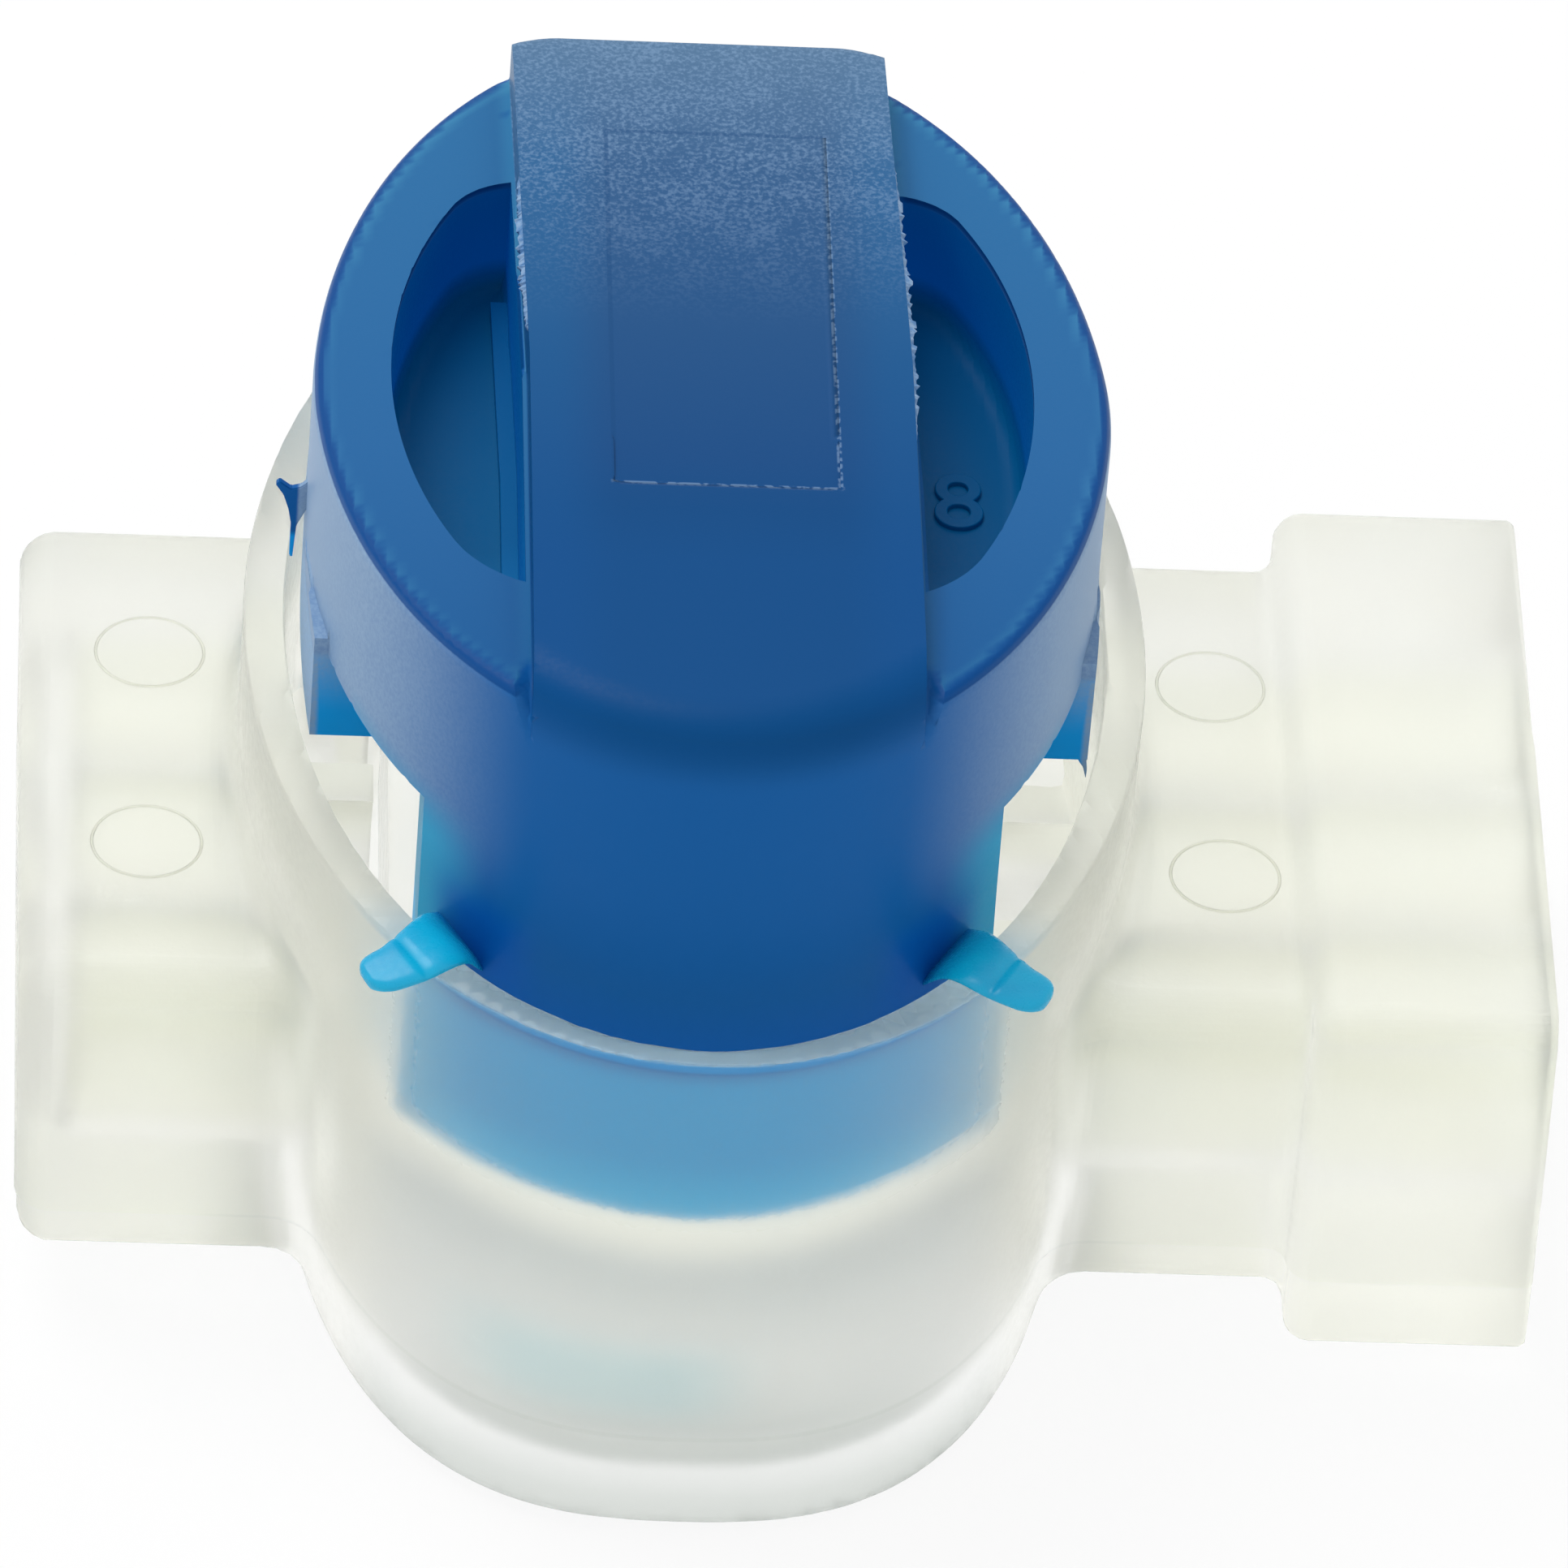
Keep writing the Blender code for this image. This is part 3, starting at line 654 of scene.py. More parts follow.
def milky_plastic(scene):
    """Translucent housing plastic: cloudy, satin, with a faint parting line."""
    finish, colours, size = Finish("milky_plastic"), scene.connector_finish, scene.connector_housing
    along = finish.math('SUBTRACT', finish.x, size.well_x)
    side = finish.math('ABSOLUTE', along)
    streaks = finish.ramp(finish.clouds(260.0, 3.0), 0.38, 0.66)
    tone = finish.mix(streaks, solid_colour(colours.housing), solid_colour(colours.housing_shade))
    front = finish.both(finish.ramp(finish.y, -0.0080, -0.0100), finish.ramp(side, 0.0086, 0.0054))
    foot = finish.both(finish.ramp(finish.y, -0.0085, -0.0105), finish.ramp(finish.z, 0.0078, 0.0066))
    # Painted shade on the well's lower front: dark at the floor, near white from 2.2 to 4.4 mm up, greyer
    # again at 6.4 mm.
    deep = finish.stops(finish.z, [(0.0, (0.50, 0.545, 0.50)), (0.0010, (0.66, 0.70, 0.66)),
                                   (0.0022, colours.housing_foot), (0.0044, colours.housing_foot),
                                   (0.0064, (0.82, 0.85, 0.84))])
    tone = finish.mix(foot, tone, deep)
    # Painted reflection: a pale blue patch of the cap's colour on the well's lower front.
    painted_cap_reflection = finish.both(foot, finish.band(along, -0.0016, 0.0012, 0.0024),
                       finish.band(finish.z, 0.0038, 0.0003, 0.0011))
    tone = finish.mix(finish.math('MULTIPLY', painted_cap_reflection, 0.7), tone, (0.70, 0.89, 0.92, 1.0))
    # Painted light: the block below the parting line, away from the well, is painted whiter.
    low_block = finish.both(finish.ramp(finish.z, size.parting + 0.0001, size.parting),
                            finish.ramp(side, 0.0085, 0.0095))
    tone = finish.mix(low_block, tone, (0.999, 0.999, 0.965, 1.0))
    # Painted light: the front of the rim is painted blue, for the cap's blue light in the lip.
    rim = finish.both(front, finish.ramp(finish.z, 0.01180, 0.01198))
    tone = finish.mix(rim, tone, (0.42, 0.72, 0.97, 1.0))
    line = finish.band(finish.z, size.parting, 0.00003, 0.00005)
    tone = finish.mix(finish.math('MULTIPLY', line, 0.4), tone, (0.76, 0.80, 0.76, 1.0))
    grain = finish.grain(5200.0)
    window = finish.both(front, finish.ramp(finish.z, 0.0066, 0.0082))
    rough = finish.ramp(grain.outputs["Height"], 0.35, 0.95, 0.38, 0.50)
    cloudy = finish.math('SUBTRACT', 1.0, window)
    rough = finish.math('ADD', finish.both(rough, cloudy), finish.math('MULTIPLY', window, 0.26))
    # Painted glow: the block below the parting line emits a little light.
    painted_glow = finish.mix(low_block, (0.0, 0.0, 0.0, 1.0), (0.05, 0.05, 0.042, 1.0))
    finish.set(Base_Color=tone, Roughness=rough, Transmission_Weight=0.96, IOR=1.32, Emission_Color=painted_glow,
               Emission_Strength=1.0)
    finish.bump(finish.both(grain.outputs["Height"], cloudy), 0.10, 0.00004)
    return finish.material


def oval_reach(finish, along, rx, ry):
    """1 on an upright oval about the press axis, less inside it and more outside."""
    across, depth = finish.math('DIVIDE', along, rx), finish.math('DIVIDE', finish.y, ry)
    return finish.math('ADD', finish.both(across, across), finish.both(depth, depth))


def cap_plastic(scene):
    """Blue cap plastic: a bar that is paler and grained at its back, teal pockets, a painted sheen on the
    side walls, a painted glow along the skirts' side edges and painted light on the lower skirt."""
    finish, colours, size = Finish("cap_plastic"), scene.connector_finish, scene.connector_cap
    along = finish.math('SUBTRACT', finish.x, scene.connector_housing.well_x)
    side = finish.math('ABSOLUTE', along)
    grain = finish.grain(11000.0)
    top = size.ring_top

    ring = finish.stops(finish.y, [(-0.010, colours.ring_front), (-0.002, colours.ring),
                                   (0.010, colours.ring_back)])
    # Painted light: the skirt is painted light blue from its lower edge up to about 10.7 mm.
    skirt = finish.stops(finish.z, [(0.0070, (0.04, 0.48, 0.80)), (0.0084, colours.glow),
                                    (0.0102, colours.glow), (0.0107, (0.002, 0.105, 0.42)),
                                    (0.0120, colours.skirt), (0.0170, colours.skirt)])
    outside = finish.ramp(finish.z, top - 0.00002, top + 0.00001)
    tone = finish.mix(outside, skirt, ring)
    slant = finish.math('MULTIPLY', finish.math('MAXIMUM', finish.y, 0.0), -BAR_SLANT)
    bar_along = finish.math('SUBTRACT', along, finish.math('ADD', slant, BAR_SHIFT * MM))
    in_width = finish.band(bar_along, 0.0, size.bar_half, 0.00004)
    off_width = finish.ramp(finish.math('ABSOLUTE', bar_along), size.bar_half, size.bar_half + 0.0004)

    leg_reach = oval_reach(finish, along, size.rx, 1.5 * size.ry)
    # Painted light: the legs' fronts below the head are painted a lighter blue than the rest of the cap.
    low_leg = finish.both(finish.ramp(finish.z, size.head_bottom + 0.0001, size.head_bottom - 0.0001),
                          finish.ramp(side, 0.0058, 0.0062))
    tone = finish.mix(low_leg, tone, (0.004, 0.34, 0.80, 1.0))
    # Painted sheen on the side walls, high on the head and on the legs' sides, broken up by the grain.
    leg_side = finish.both(low_leg, finish.ramp(leg_reach, 0.955, 0.985))
    high_side = finish.both(finish.ramp(side, 0.0034, 0.0072), finish.ramp(finish.z, 0.0125, 0.0145),
                            finish.ramp(finish.z, top - 0.00004, top - 0.00010))
    sheen_grain = finish.ramp(grain.outputs["Height"], 0.4, 0.85, 0.75, 1.0)
    painted_side_sheen = finish.both(finish.math('MAXIMUM', leg_side, high_side), sheen_grain,
                        finish.ramp(leg_reach, 1.05, 1.03))
    tone = finish.mix(painted_side_sheen, tone, solid_colour(colours.painted_side_sheen))
    # Painted shade: a dark line just below the ring's outer edge, off the bar.
    edge_shade_line = finish.both(finish.band(finish.z, top - 0.00007, 0.00005, 0.00004), off_width)
    tone = finish.mix(finish.math('MULTIPLY', edge_shade_line, 0.85), tone, (0.0, 0.055, 0.23, 1.0))

    # Painted glow: the skirts' side edges below the head are painted cyan, for light through the plastic
    # there.
    edge = finish.math('MAXIMUM', finish.ramp(along, size.skirt_left + 0.0013, size.skirt_left),
                       finish.ramp(along, size.skirt_right - 0.0013, size.skirt_right))
    below = finish.both(finish.ramp(finish.z, size.head_bottom + 0.0006, size.head_bottom - 0.0008),
                        finish.ramp(finish.math('ABSOLUTE', finish.y), 0.0050, 0.0055))
    tone = finish.mix(finish.both(edge, below), tone, (0.035, 0.34, 0.58, 1.0))
    shade = finish.both(finish.band(side, 0.0042, 0.0003, 0.0009),
                        finish.band(finish.z, 0.0118, 0.0004, 0.0009))
    tone = finish.mix(finish.math('MULTIPLY', shade, 0.7), tone, (0.0, 0.10, 0.45, 1.0))

    hole_reach = oval_reach(finish, along, size.pocket_rx, size.pocket_ry)
    in_pocket = finish.both(finish.ramp(finish.z, top - 0.00005, top - 0.0002),
                            finish.ramp(finish.z, size.head_bottom + 0.0008, size.head_bottom + 0.0012),
                            finish.ramp(hole_reach, 1.30, 1.15),
                            finish.ramp(side, 0.0033, 0.0036))
    pocket = finish.stops(finish.y, [(-0.006, (0.004, 0.200, 0.450)), (-0.002, colours.pocket),
                                     (0.005, (0.0, 0.090, 0.25))])
    tone = finish.mix(in_pocket, tone, pocket)

    on_bar = finish.both(finish.ramp(finish.z, 0.0168, 0.0180), in_width)
    bar = finish.stops(finish.y, [(-0.0060, colours.bar), (-0.0045, (0.0, 0.060, 0.207)),
                                  (-0.0030, colours.slate), (0.0020, (0.012, 0.076, 0.216)),
                                  (0.0060, (0.030, 0.100, 0.235)), (0.0080, (0.056, 0.136, 0.270)),
                                  (0.0102, colours.bar_back_pale)])
    panel = finish.both(finish.ramp(along, size.panel_low_x - 0.0012, size.panel_low_x + 0.0002),
                        finish.ramp(along, size.panel_high_x + 0.0012, size.panel_high_x - 0.0002))
    strips = finish.math('MULTIPLY', finish.math('SUBTRACT', 1.0, panel), 0.6)
    strip = finish.stops(finish.y, [(-0.0060, (0.0, 0.070, 0.250)), (0.0, (0.004, 0.095, 0.275)),
                                    (0.0060, (0.022, 0.130, 0.310)), (0.0102, colours.bar_back_pale)])
    bar = finish.mix(strips, bar, strip)
    grained = finish.ramp(finish.y, 0.0005, 0.0070)
    speckle = finish.both(grain.outputs["Speckle"], grained)
    bar = finish.mix(finish.math('MULTIPLY', speckle, 0.40), bar, solid_colour(colours.flash))
    tone = finish.mix(on_bar, tone, bar)

    across = finish.band(along, (size.panel_low_x + size.panel_high_x) / 2,
                         (size.panel_high_x - size.panel_low_x) / 2, 0.0001)
    down = finish.band(finish.y, (size.panel_low_y + size.panel_high_y) / 2,
                       (size.panel_high_y - size.panel_low_y) / 2, 0.0001)
    right_line = finish.both(finish.band(along, size.panel_high_x, 0.00003, 0.00003), down)
    front_line = finish.both(finish.band(finish.y, size.panel_low_y, 0.00003, 0.00003), across)
    left_line = finish.both(finish.band(along, size.panel_low_x, 0.00003, 0.00003), down)
    dots = finish.ramp(finish.clouds(6500.0, 2.0), 0.44, 0.58)
    # Painted highlight: pale dotted lines along the panel's right and front edges.
    pale = finish.both(finish.math('MAXIMUM', right_line, front_line), dots, on_bar)
    tone = finish.mix(finish.math('MULTIPLY', pale, 0.45), tone, solid_colour(colours.flash))
    # Painted shade: faint dark lines along the panel's left and back edges.
    back_line = finish.both(finish.band(finish.y, size.panel_high_y, 0.00003, 0.00003), across)
    dark = finish.math('MULTIPLY', finish.both(finish.math('MAXIMUM', left_line, back_line), on_bar), 0.35)
    tone = finish.mix(dark, tone, (0.0, 0.05, 0.17, 1.0))

    # Painted glow: a faint blue emission on the pocket walls, less on their floors.
    pocket_light = finish.stops(finish.z, [(0.0154, (0.0, 0.006, 0.015)), (0.0160, (0.0, 0.020, 0.110)),
                                           (0.0178, (0.0, 0.012, 0.070))])
    painted_glow = finish.mix(in_pocket, (0.0, 0.0, 0.0, 1.0), pocket_light)
    # Painted glow on the lower skirt, below about 10.2 mm.
    thin = finish.ramp(finish.z, 0.0102, 0.0107, 1.0, 0.0)
    painted_glow = finish.mix(thin, painted_glow, (0.0, 0.058, 0.145, 1.0))
    rough = finish.ramp(grain.outputs["Height"], 0.35, 0.95, 0.34, 0.50)
    finish.set(Base_Color=tone, Roughness=rough, Specular_IOR_Level=0.09, Emission_Color=painted_glow,
               Emission_Strength=1.0)
    depth = finish.math('ADD', finish.math('MULTIPLY', finish.both(on_bar, grained), 0.85), 0.15)
    finish.bump(finish.math('MULTIPLY', grain.outputs["Height"], depth), 0.3, 0.00003)
    return finish.material


def tab_plastic(scene):
    """The thin tabs' cyan plastic, with a painted glow past the skirt, deeper where a tab leaves the skirt.
    """
    finish, colours, size = Finish("tab_plastic"), scene.connector_finish, scene.connector_cap
    along = finish.math('SUBTRACT', finish.x, scene.connector_housing.well_x)
    out = oval_reach(finish, along, size.rx, size.ry)
    cloudy = finish.ramp(finish.clouds(900.0, 2.0), 0.3, 0.7)
    tone = finish.mix(finish.math('MULTIPLY', cloudy, 0.5), solid_colour(colours.tab),
                      (0.006, 0.25, 0.50, 1.0))
    tone = finish.mix(finish.ramp(out, 1.12, 0.99), tone, (0.0, 0.16, 0.44, 1.0))
    grain = finish.grain(6000.0)
    rough = finish.ramp(grain.outputs["Height"], 0.35, 0.95, 0.22, 0.36)
    # Painted glow where a tab reaches out past the skirt.
    painted_glow = finish.mix(finish.ramp(out, 1.0, 1.15), (0.0, 0.0, 0.0, 1.0), (0.0, 0.05, 0.07, 1.0))
    finish.set(Base_Color=tone, Roughness=rough, Specular_IOR_Level=0.3, Emission_Color=painted_glow,
               Emission_Strength=1.0)
    finish.bump(grain.outputs["Height"], 0.1, 0.00003)
    return finish.material


def flash_plastic(scene):
    """Ragged flash that is too thin to be blue."""
    finish, colours = Finish("flash_plastic"), scene.connector_finish
    frayed = finish.ramp(finish.clouds(5000.0, 3.0), 0.35, 0.65)
    tone = finish.mix(frayed, solid_colour(colours.flash), (0.08, 0.22, 0.46, 1.0))
    grain = finish.grain(9000.0)
    rough = finish.ramp(grain.outputs["Height"], 0.35, 0.95, 0.35, 0.55)
    finish.set(Base_Color=tone, Roughness=rough, Specular_IOR_Level=0.3)
    finish.bump(grain.outputs["Height"], 0.15, 0.00003)
    return finish.material


def clear_gel(scene):
    """Soft clear gel with a little haze."""
    finish, colours = Finish("clear_gel"), scene.connector_finish
    haze = finish.ramp(finish.clouds(380.0, 2.0), 0.35, 0.7)
    tone = finish.mix(haze, solid_colour(colours.gel), (0.97, 0.98, 0.975, 1.0))
    grain = finish.grain(1500.0)
    rough = finish.ramp(grain.outputs["Height"], 0.3, 1.0, 0.12, 0.25)
    finish.set(Base_Color=tone, Roughness=rough, Transmission_Weight=0.98, IOR=1.15)
    finish.bump(grain.outputs["Height"], 0.08, 0.00005)
    return finish.material


def tinned_sheet(scene):
    """Tin plating over rolled sheet: bright, with fine rolling lines."""
    finish, colours = Finish("tinned_sheet"), scene.connector_finish
    stretched = finish.add("ShaderNodeMapping", None, {"Vector": finish.place, "Scale": (1.0, 1.0, 0.06)})
    lines = finish.add("ShaderNodeTexNoise", None, {"Vector": stretched.outputs[0], "Scale": 9000.0,
                                                    "Detail": 2.0})
    streak = finish.ramp(lines.outputs[0], 0.35, 0.65)
    tone = finish.mix(streak, solid_colour(colours.tin), (0.60, 0.59, 0.55, 1.0))
    grain = finish.grain(5000.0)
    rough = finish.ramp(grain.outputs["Height"], 0.35, 0.95, 0.22, 0.40)
    finish.set(Base_Color=tone, Roughness=rough, Metallic=1.0)
    finish.bump(lines.outputs[0], 0.15, 0.00003)
    return finish.material


def shared(name, maker, scene):
    """A material made once."""
    return bpy.data.materials.get(name) or maker(scene)


# Geometry Nodes: the ejector marks

def mark_tree():
    """Thin rings on the corners of a rectangle."""
    tree = bpy.data.node_groups.new("ejector_marks", "GeometryNodeTree")
    for label, kind in (("Geometry", "NodeSocketGeometry"), ("Radius", "NodeSocketFloat"),
                        ("Line", "NodeSocketFloat"), ("Along", "NodeSocketFloat"),
                        ("Across", "NodeSocketFloat"), ("Centre", "NodeSocketVector"),
                        ("Material", "NodeSocketMaterial")):
        tree.interface.new_socket(label, in_out='INPUT', socket_type=kind)
    tree.interface.new_socket("Geometry", in_out='OUTPUT', socket_type="NodeSocketGeometry")
    graph = Graph(tree)
    given = graph.add("NodeGroupInput").outputs
    corners = graph.add("GeometryNodeMeshGrid", None, {"Size X": given["Along"], "Size Y": given["Across"],
                                                       "Vertices X": 2, "Vertices Y": 2})
    ring = graph.add("GeometryNodeCurvePrimitiveCircle", None,
                     {"Resolution": 56, "Radius": given["Radius"]})
    profile = graph.add("GeometryNodeCurvePrimitiveCircle", None,
                        {"Resolution": 8, "Radius": given["Line"]})
    tube = graph.add("GeometryNodeCurveToMesh", None, {"Curve": ring.outputs[0],
                                                       "Profile Curve": profile.outputs[0]})
    rings = graph.add("GeometryNodeInstanceOnPoints", None, {"Points": corners.outputs["Mesh"],
                                                             "Instance": tube.outputs[0]})
    plain = graph.add("GeometryNodeRealizeInstances", None, {0: rings.outputs[0]})
    moved = graph.add("GeometryNodeTransform", None, {"Geometry": plain.outputs[0],
                                                      "Translation": given["Centre"]})
    smooth = graph.add("GeometryNodeSetShadeSmooth", None, {0: moved.outputs[0]})
    painted = graph.add("GeometryNodeSetMaterial", None, {"Geometry": smooth.outputs[0],
                                                          "Material": given["Material"]})
    result = graph.add("NodeGroupOutput")
    graph.feed(result.inputs[0], painted.outputs[0])
    return tree


def node_mesh(name, tree, values):
    """The plain mesh that a Geometry Nodes tree makes from named values."""
    holder = bpy.data.objects.new(name, bpy.data.meshes.new(name))
    bpy.context.scene.collection.objects.link(holder)
    step = holder.modifiers.new(name, 'NODES')
    step.node_group = tree
    for socket in tree.interface.items_tree:
        if socket.in_out == 'INPUT' and socket.name in values:
            step[socket.identifier] = values[socket.name]
    graph = bpy.context.evaluated_depsgraph_get()
    mesh = bpy.data.meshes.new_from_object(holder.evaluated_get(graph))
    bpy.data.objects.remove(holder)
    return mesh


# Operators

class CONNECTOR_OT_housing(Operator):
    """Builds the translucent housing"""
    bl_idname = "connector.housing"
    bl_label = "Housing"

    def execute(self, context):
        scene = context.scene
        size = in_mm(scene.connector_housing)
        low, high = HOUSING_LOW / MM, HOUSING_HIGH / MM
        collar = high.x - size["collar_length"]
        lines = [
            grid_line(low.x, high.x, 0.30, 0.17, (low.x, collar, high.x), 0.7),
            grid_line(low.y, high.y, 0.26, 0.17, (low.y, -7.4, 7.4, high.y), 0.8),
            grid_line(low.z, high.z, 0.26, 0.13, (0.0, size["parting"], size["block_top"], high.z), 0.45),
        ]
        mesh = skin("housing_shell", housing_field(size), lines)
        look = shared("milky_plastic", milky_plastic, scene)
        place_piece("housing_shell", mesh, look, "base", "housing", "housing")
        return {'FINISHED'}


class CONNECTOR_OT_marks(Operator):
    """Adds the ejector marks on the block's top"""
    bl_idname = "connector.marks"
    bl_label = "Ejector marks"

    def execute(self, context):
        scene = context.scene
        size = scene.connector_housing
        look = shared("milky_plastic", milky_plastic, scene)
        line = 0.035 * MM
        mesh = node_mesh("ejector_marks", mark_tree(), {
            "Radius": size.mark_radius, "Line": line, "Along": 2 * size.mark_x, "Across": 2 * size.mark_y,
            "Centre": (size.well_x, 0.0, size.block_top - 0.4 * line), "Material": look})
        place_piece("ejector_marks", mesh, look, "base", "housing")
        return {'FINISHED'}


class CONNECTOR_OT_cap(Operator):
    """Builds the push cap"""
    bl_idname = "connector.cap"
    bl_label = "Push cap"

    def execute(self, context):
        scene = context.scene
        size = in_mm(scene.connector_cap)
        middle = scene.connector_housing.well_x / MM
        high_z = CAP_HIGH.z / MM
        low = Vector((middle - size["rx"], -size["ry"] - size["skirt_flare"], size["skirt_bottom"]))
        high = Vector((middle + size["rx"], size["back"], high_z))
        lines = [
            grid_line(low.x, high.x, 0.20, 0.14, (low.x, high.x), 0.6),
            grid_line(low.y, high.y, 0.21, 0.14, (low.y, high.y), 0.8),
            grid_line(low.z, high.z, 0.25, 0.09, (size["ring_top"] - 0.1, high_z - 0.3), 0.45),
        ]
        mesh = skin("cap_body", cap_field(size, middle), lines)
        place_piece("cap_body", mesh, shared("cap_plastic", cap_plastic, scene), "cap", "cap", "push_cap")
        return {'FINISHED'}


class CONNECTOR_OT_number(Operator):
    """Adds the raised mould number on the right pocket's floor"""
    bl_idname = "connector.number"
    bl_label = "Mould number"

    def execute(self, context):
        scene = context.scene
        size = scene.connector_cap
        text = bpy.data.curves.new("mould_number", 'FONT')
        text.body = "8"
        text.align_x, text.align_y = 'CENTER', 'CENTER'
        text.size, text.extrude = 2.3 * MM, 0.04 * MM
        text.bevel_depth = 0.03 * MM
        holder = bpy.data.objects.new("mould_number", text)
        scene.collection.objects.link(holder)
        graph = context.evaluated_depsgraph_get()
        mesh = bpy.data.meshes.new_from_object(holder.evaluated_get(graph))
        bpy.data.objects.remove(holder)
        floor = size.ring_top - size.pocket_depth
        place = Vector((scene.connector_housing.well_x + 4.9 * MM, -0.15 * MM, floor + 0.03 * MM))
        mesh.transform(Matrix.Translation(place) @ Matrix.Diagonal((0.9, 1.0, 1.0, 1.0)))
        mesh.shade_smooth()
        place_piece("mould_number", mesh, shared("cap_plastic", cap_plastic, scene), "cap", "cap")
        return {'FINISHED'}


class CONNECTOR_OT_tabs(Operator):
    """Builds the four hold tabs"""
    bl_idname = "connector.tabs"
    bl_label = "Hold tabs"

    def execute(self, context):
        scene = context.scene
        look = shared("tab_plastic", tab_plastic, scene)
        for end, end_name in ((-1, "front"), (1, "back")):
            for side, side_name in ((-1, "left"), (1, "right")):
                name = f"{end_name}_{side_name}"
                mesh, root, along = tab_mesh(scene, side, end)
                tab = place_piece(f"tab_{name}", mesh, look, "cap", "tab", f"hold_tab_{name}")
                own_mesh(tab)
        return {'FINISHED'}


def tab_mesh(scene, side, end):
    """One tab: it leaves the skirt on a slant, rises over the rim, and droops a little past a crease."""
    size, middle = in_mm(scene.connector_cap), scene.connector_housing.well_x / MM
    turn = np.array((side, end, 1.0))
    centre = np.array((middle, 0.0, 0.0))
    last = len(TAB_LINES) - 1
    columns = 14
    places = np.linspace(0.0, last - 1.0, 32).tolist()
    places += (last - 1.0 + np.sin(np.linspace(0.0, math.pi / 2, 13)[1:])).tolist()
    top, bottom = [], []
    for place in places:
        outer, inner = tab_line(place)
        narrow = math.sqrt(max(1.0 - max(place - last + 1.0, 0.0) ** 2, 0.0))
        lift = size["tab_lift"] * float(soft_step(place - 1.0))
        groove = 0.05 * math.exp(-((place - TAB_CREASE) / 0.1) ** 2)
        for column in range(columns + 1):
            offset = math.sin((column / columns - 0.5) * math.pi)
            point = (outer + inner) / 2 + (inner - outer) / 2 * offset * narrow
            thin = min(1.0, 4.0 * (last - place) + 0.25, (1.0 - abs(offset) ** 6) * 0.75 + 0.25)
            half = size["tab_sheet"] / 2 * thin
            above = point + (0.0, 0.0, lift + half - groove)
            below = point + (0.0, 0.0, lift - half)
            top.append(((above * turn + centre) * MM).tolist())
            bottom.append(((below * turn + centre) * MM).tolist())
    mesh = sheet_mesh("tab", top, bottom, len(places) - 1, columns)
    root = TAB_LINES[0].mean(0)
    reach = TAB_LINES[last].mean(0) - root
    along = Vector((side * reach[0], end * reach[1], 0.0)).normalized()
    return mesh, (root * turn + centre) * MM, along


def tab_line(place):
    """The two ends of a line across a tab, on a smooth curve through the given lines."""
    last = len(TAB_LINES) - 1
    first = min(int(place), last - 1)
    share = place - first
    before, start, end, after = (TAB_LINES[min(max(first + step, 0), last)] for step in (-1, 0, 1, 2))
    leave, arrive = (end - before) / 2, (after - start) / 2
    bend = 3.0 * (end - start) - 2.0 * leave - arrive
    twist = 2.0 * (start - end) + leave + arrive
    return start + share * (leave + share * (bend + share * twist))


def sheet_mesh(name, top, bottom, rows, columns):
    """A closed sheet from the points of its two sides."""
    width, count = columns + 1, len(top)
    faces = []
    for row in range(rows):
        for column in range(columns):
            first = row * width + column
            quad = (first, first + 1, first + width + 1, first + width)
            faces.append(quad)
            faces.append(tuple(index + count for index in reversed(quad)))
    border = list(range(width)) + [row * width + columns for row in range(1, rows + 1)]
    border += [rows * width + column for column in range(columns - 1, -1, -1)]
    border += [row * width for row in range(rows - 1, 0, -1)]
    for here, there in zip(border, border[1:] + border[:1]):
        faces.append((here + count, there + count, there, here))
    mesh = bpy.data.meshes.new(name)
    mesh.from_pydata(top + bottom, [], faces)
    tidy(mesh)
    return mesh


def tidy(mesh):
    """Merges doubled points, turns the faces outward and shades them smooth."""
    shape = bmesh.new()
    shape.from_mesh(mesh)
    bmesh.ops.remove_doubles(shape, verts=shape.verts[:], dist=1e-7)
    bmesh.ops.recalc_face_normals(shape, faces=shape.faces[:])
    shape.to_mesh(mesh)
    shape.free()
    mesh.shade_smooth()


class CONNECTOR_OT_flash(Operator):
    """Adds the moulding flash on the bar's edges, the left wall and the right leg"""
    bl_idname = "connector.flash"
    bl_label = "Moulding flash"

    def execute(self, context):
        scene = context.scene
        pale = shared("flash_plastic", flash_plastic, scene)
        blue = shared("cap_plastic", cap_plastic, scene)
        for side, name, back, front in ((-1, "left", 5.6, 0.8), (1, "right", 6.4, -2.2)):
            mesh = edge_flash(scene, side, back, front)
            place_piece(f"bar_flash_{name}", mesh, pale, "cap", "cap")
        fin = place_piece("wall_flash", wall_flash(scene), blue, "cap", "cap")
        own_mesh(fin)
        place_piece("leg_flash", leg_flash(scene), blue, "cap", "cap")
        return {'FINISHED'}


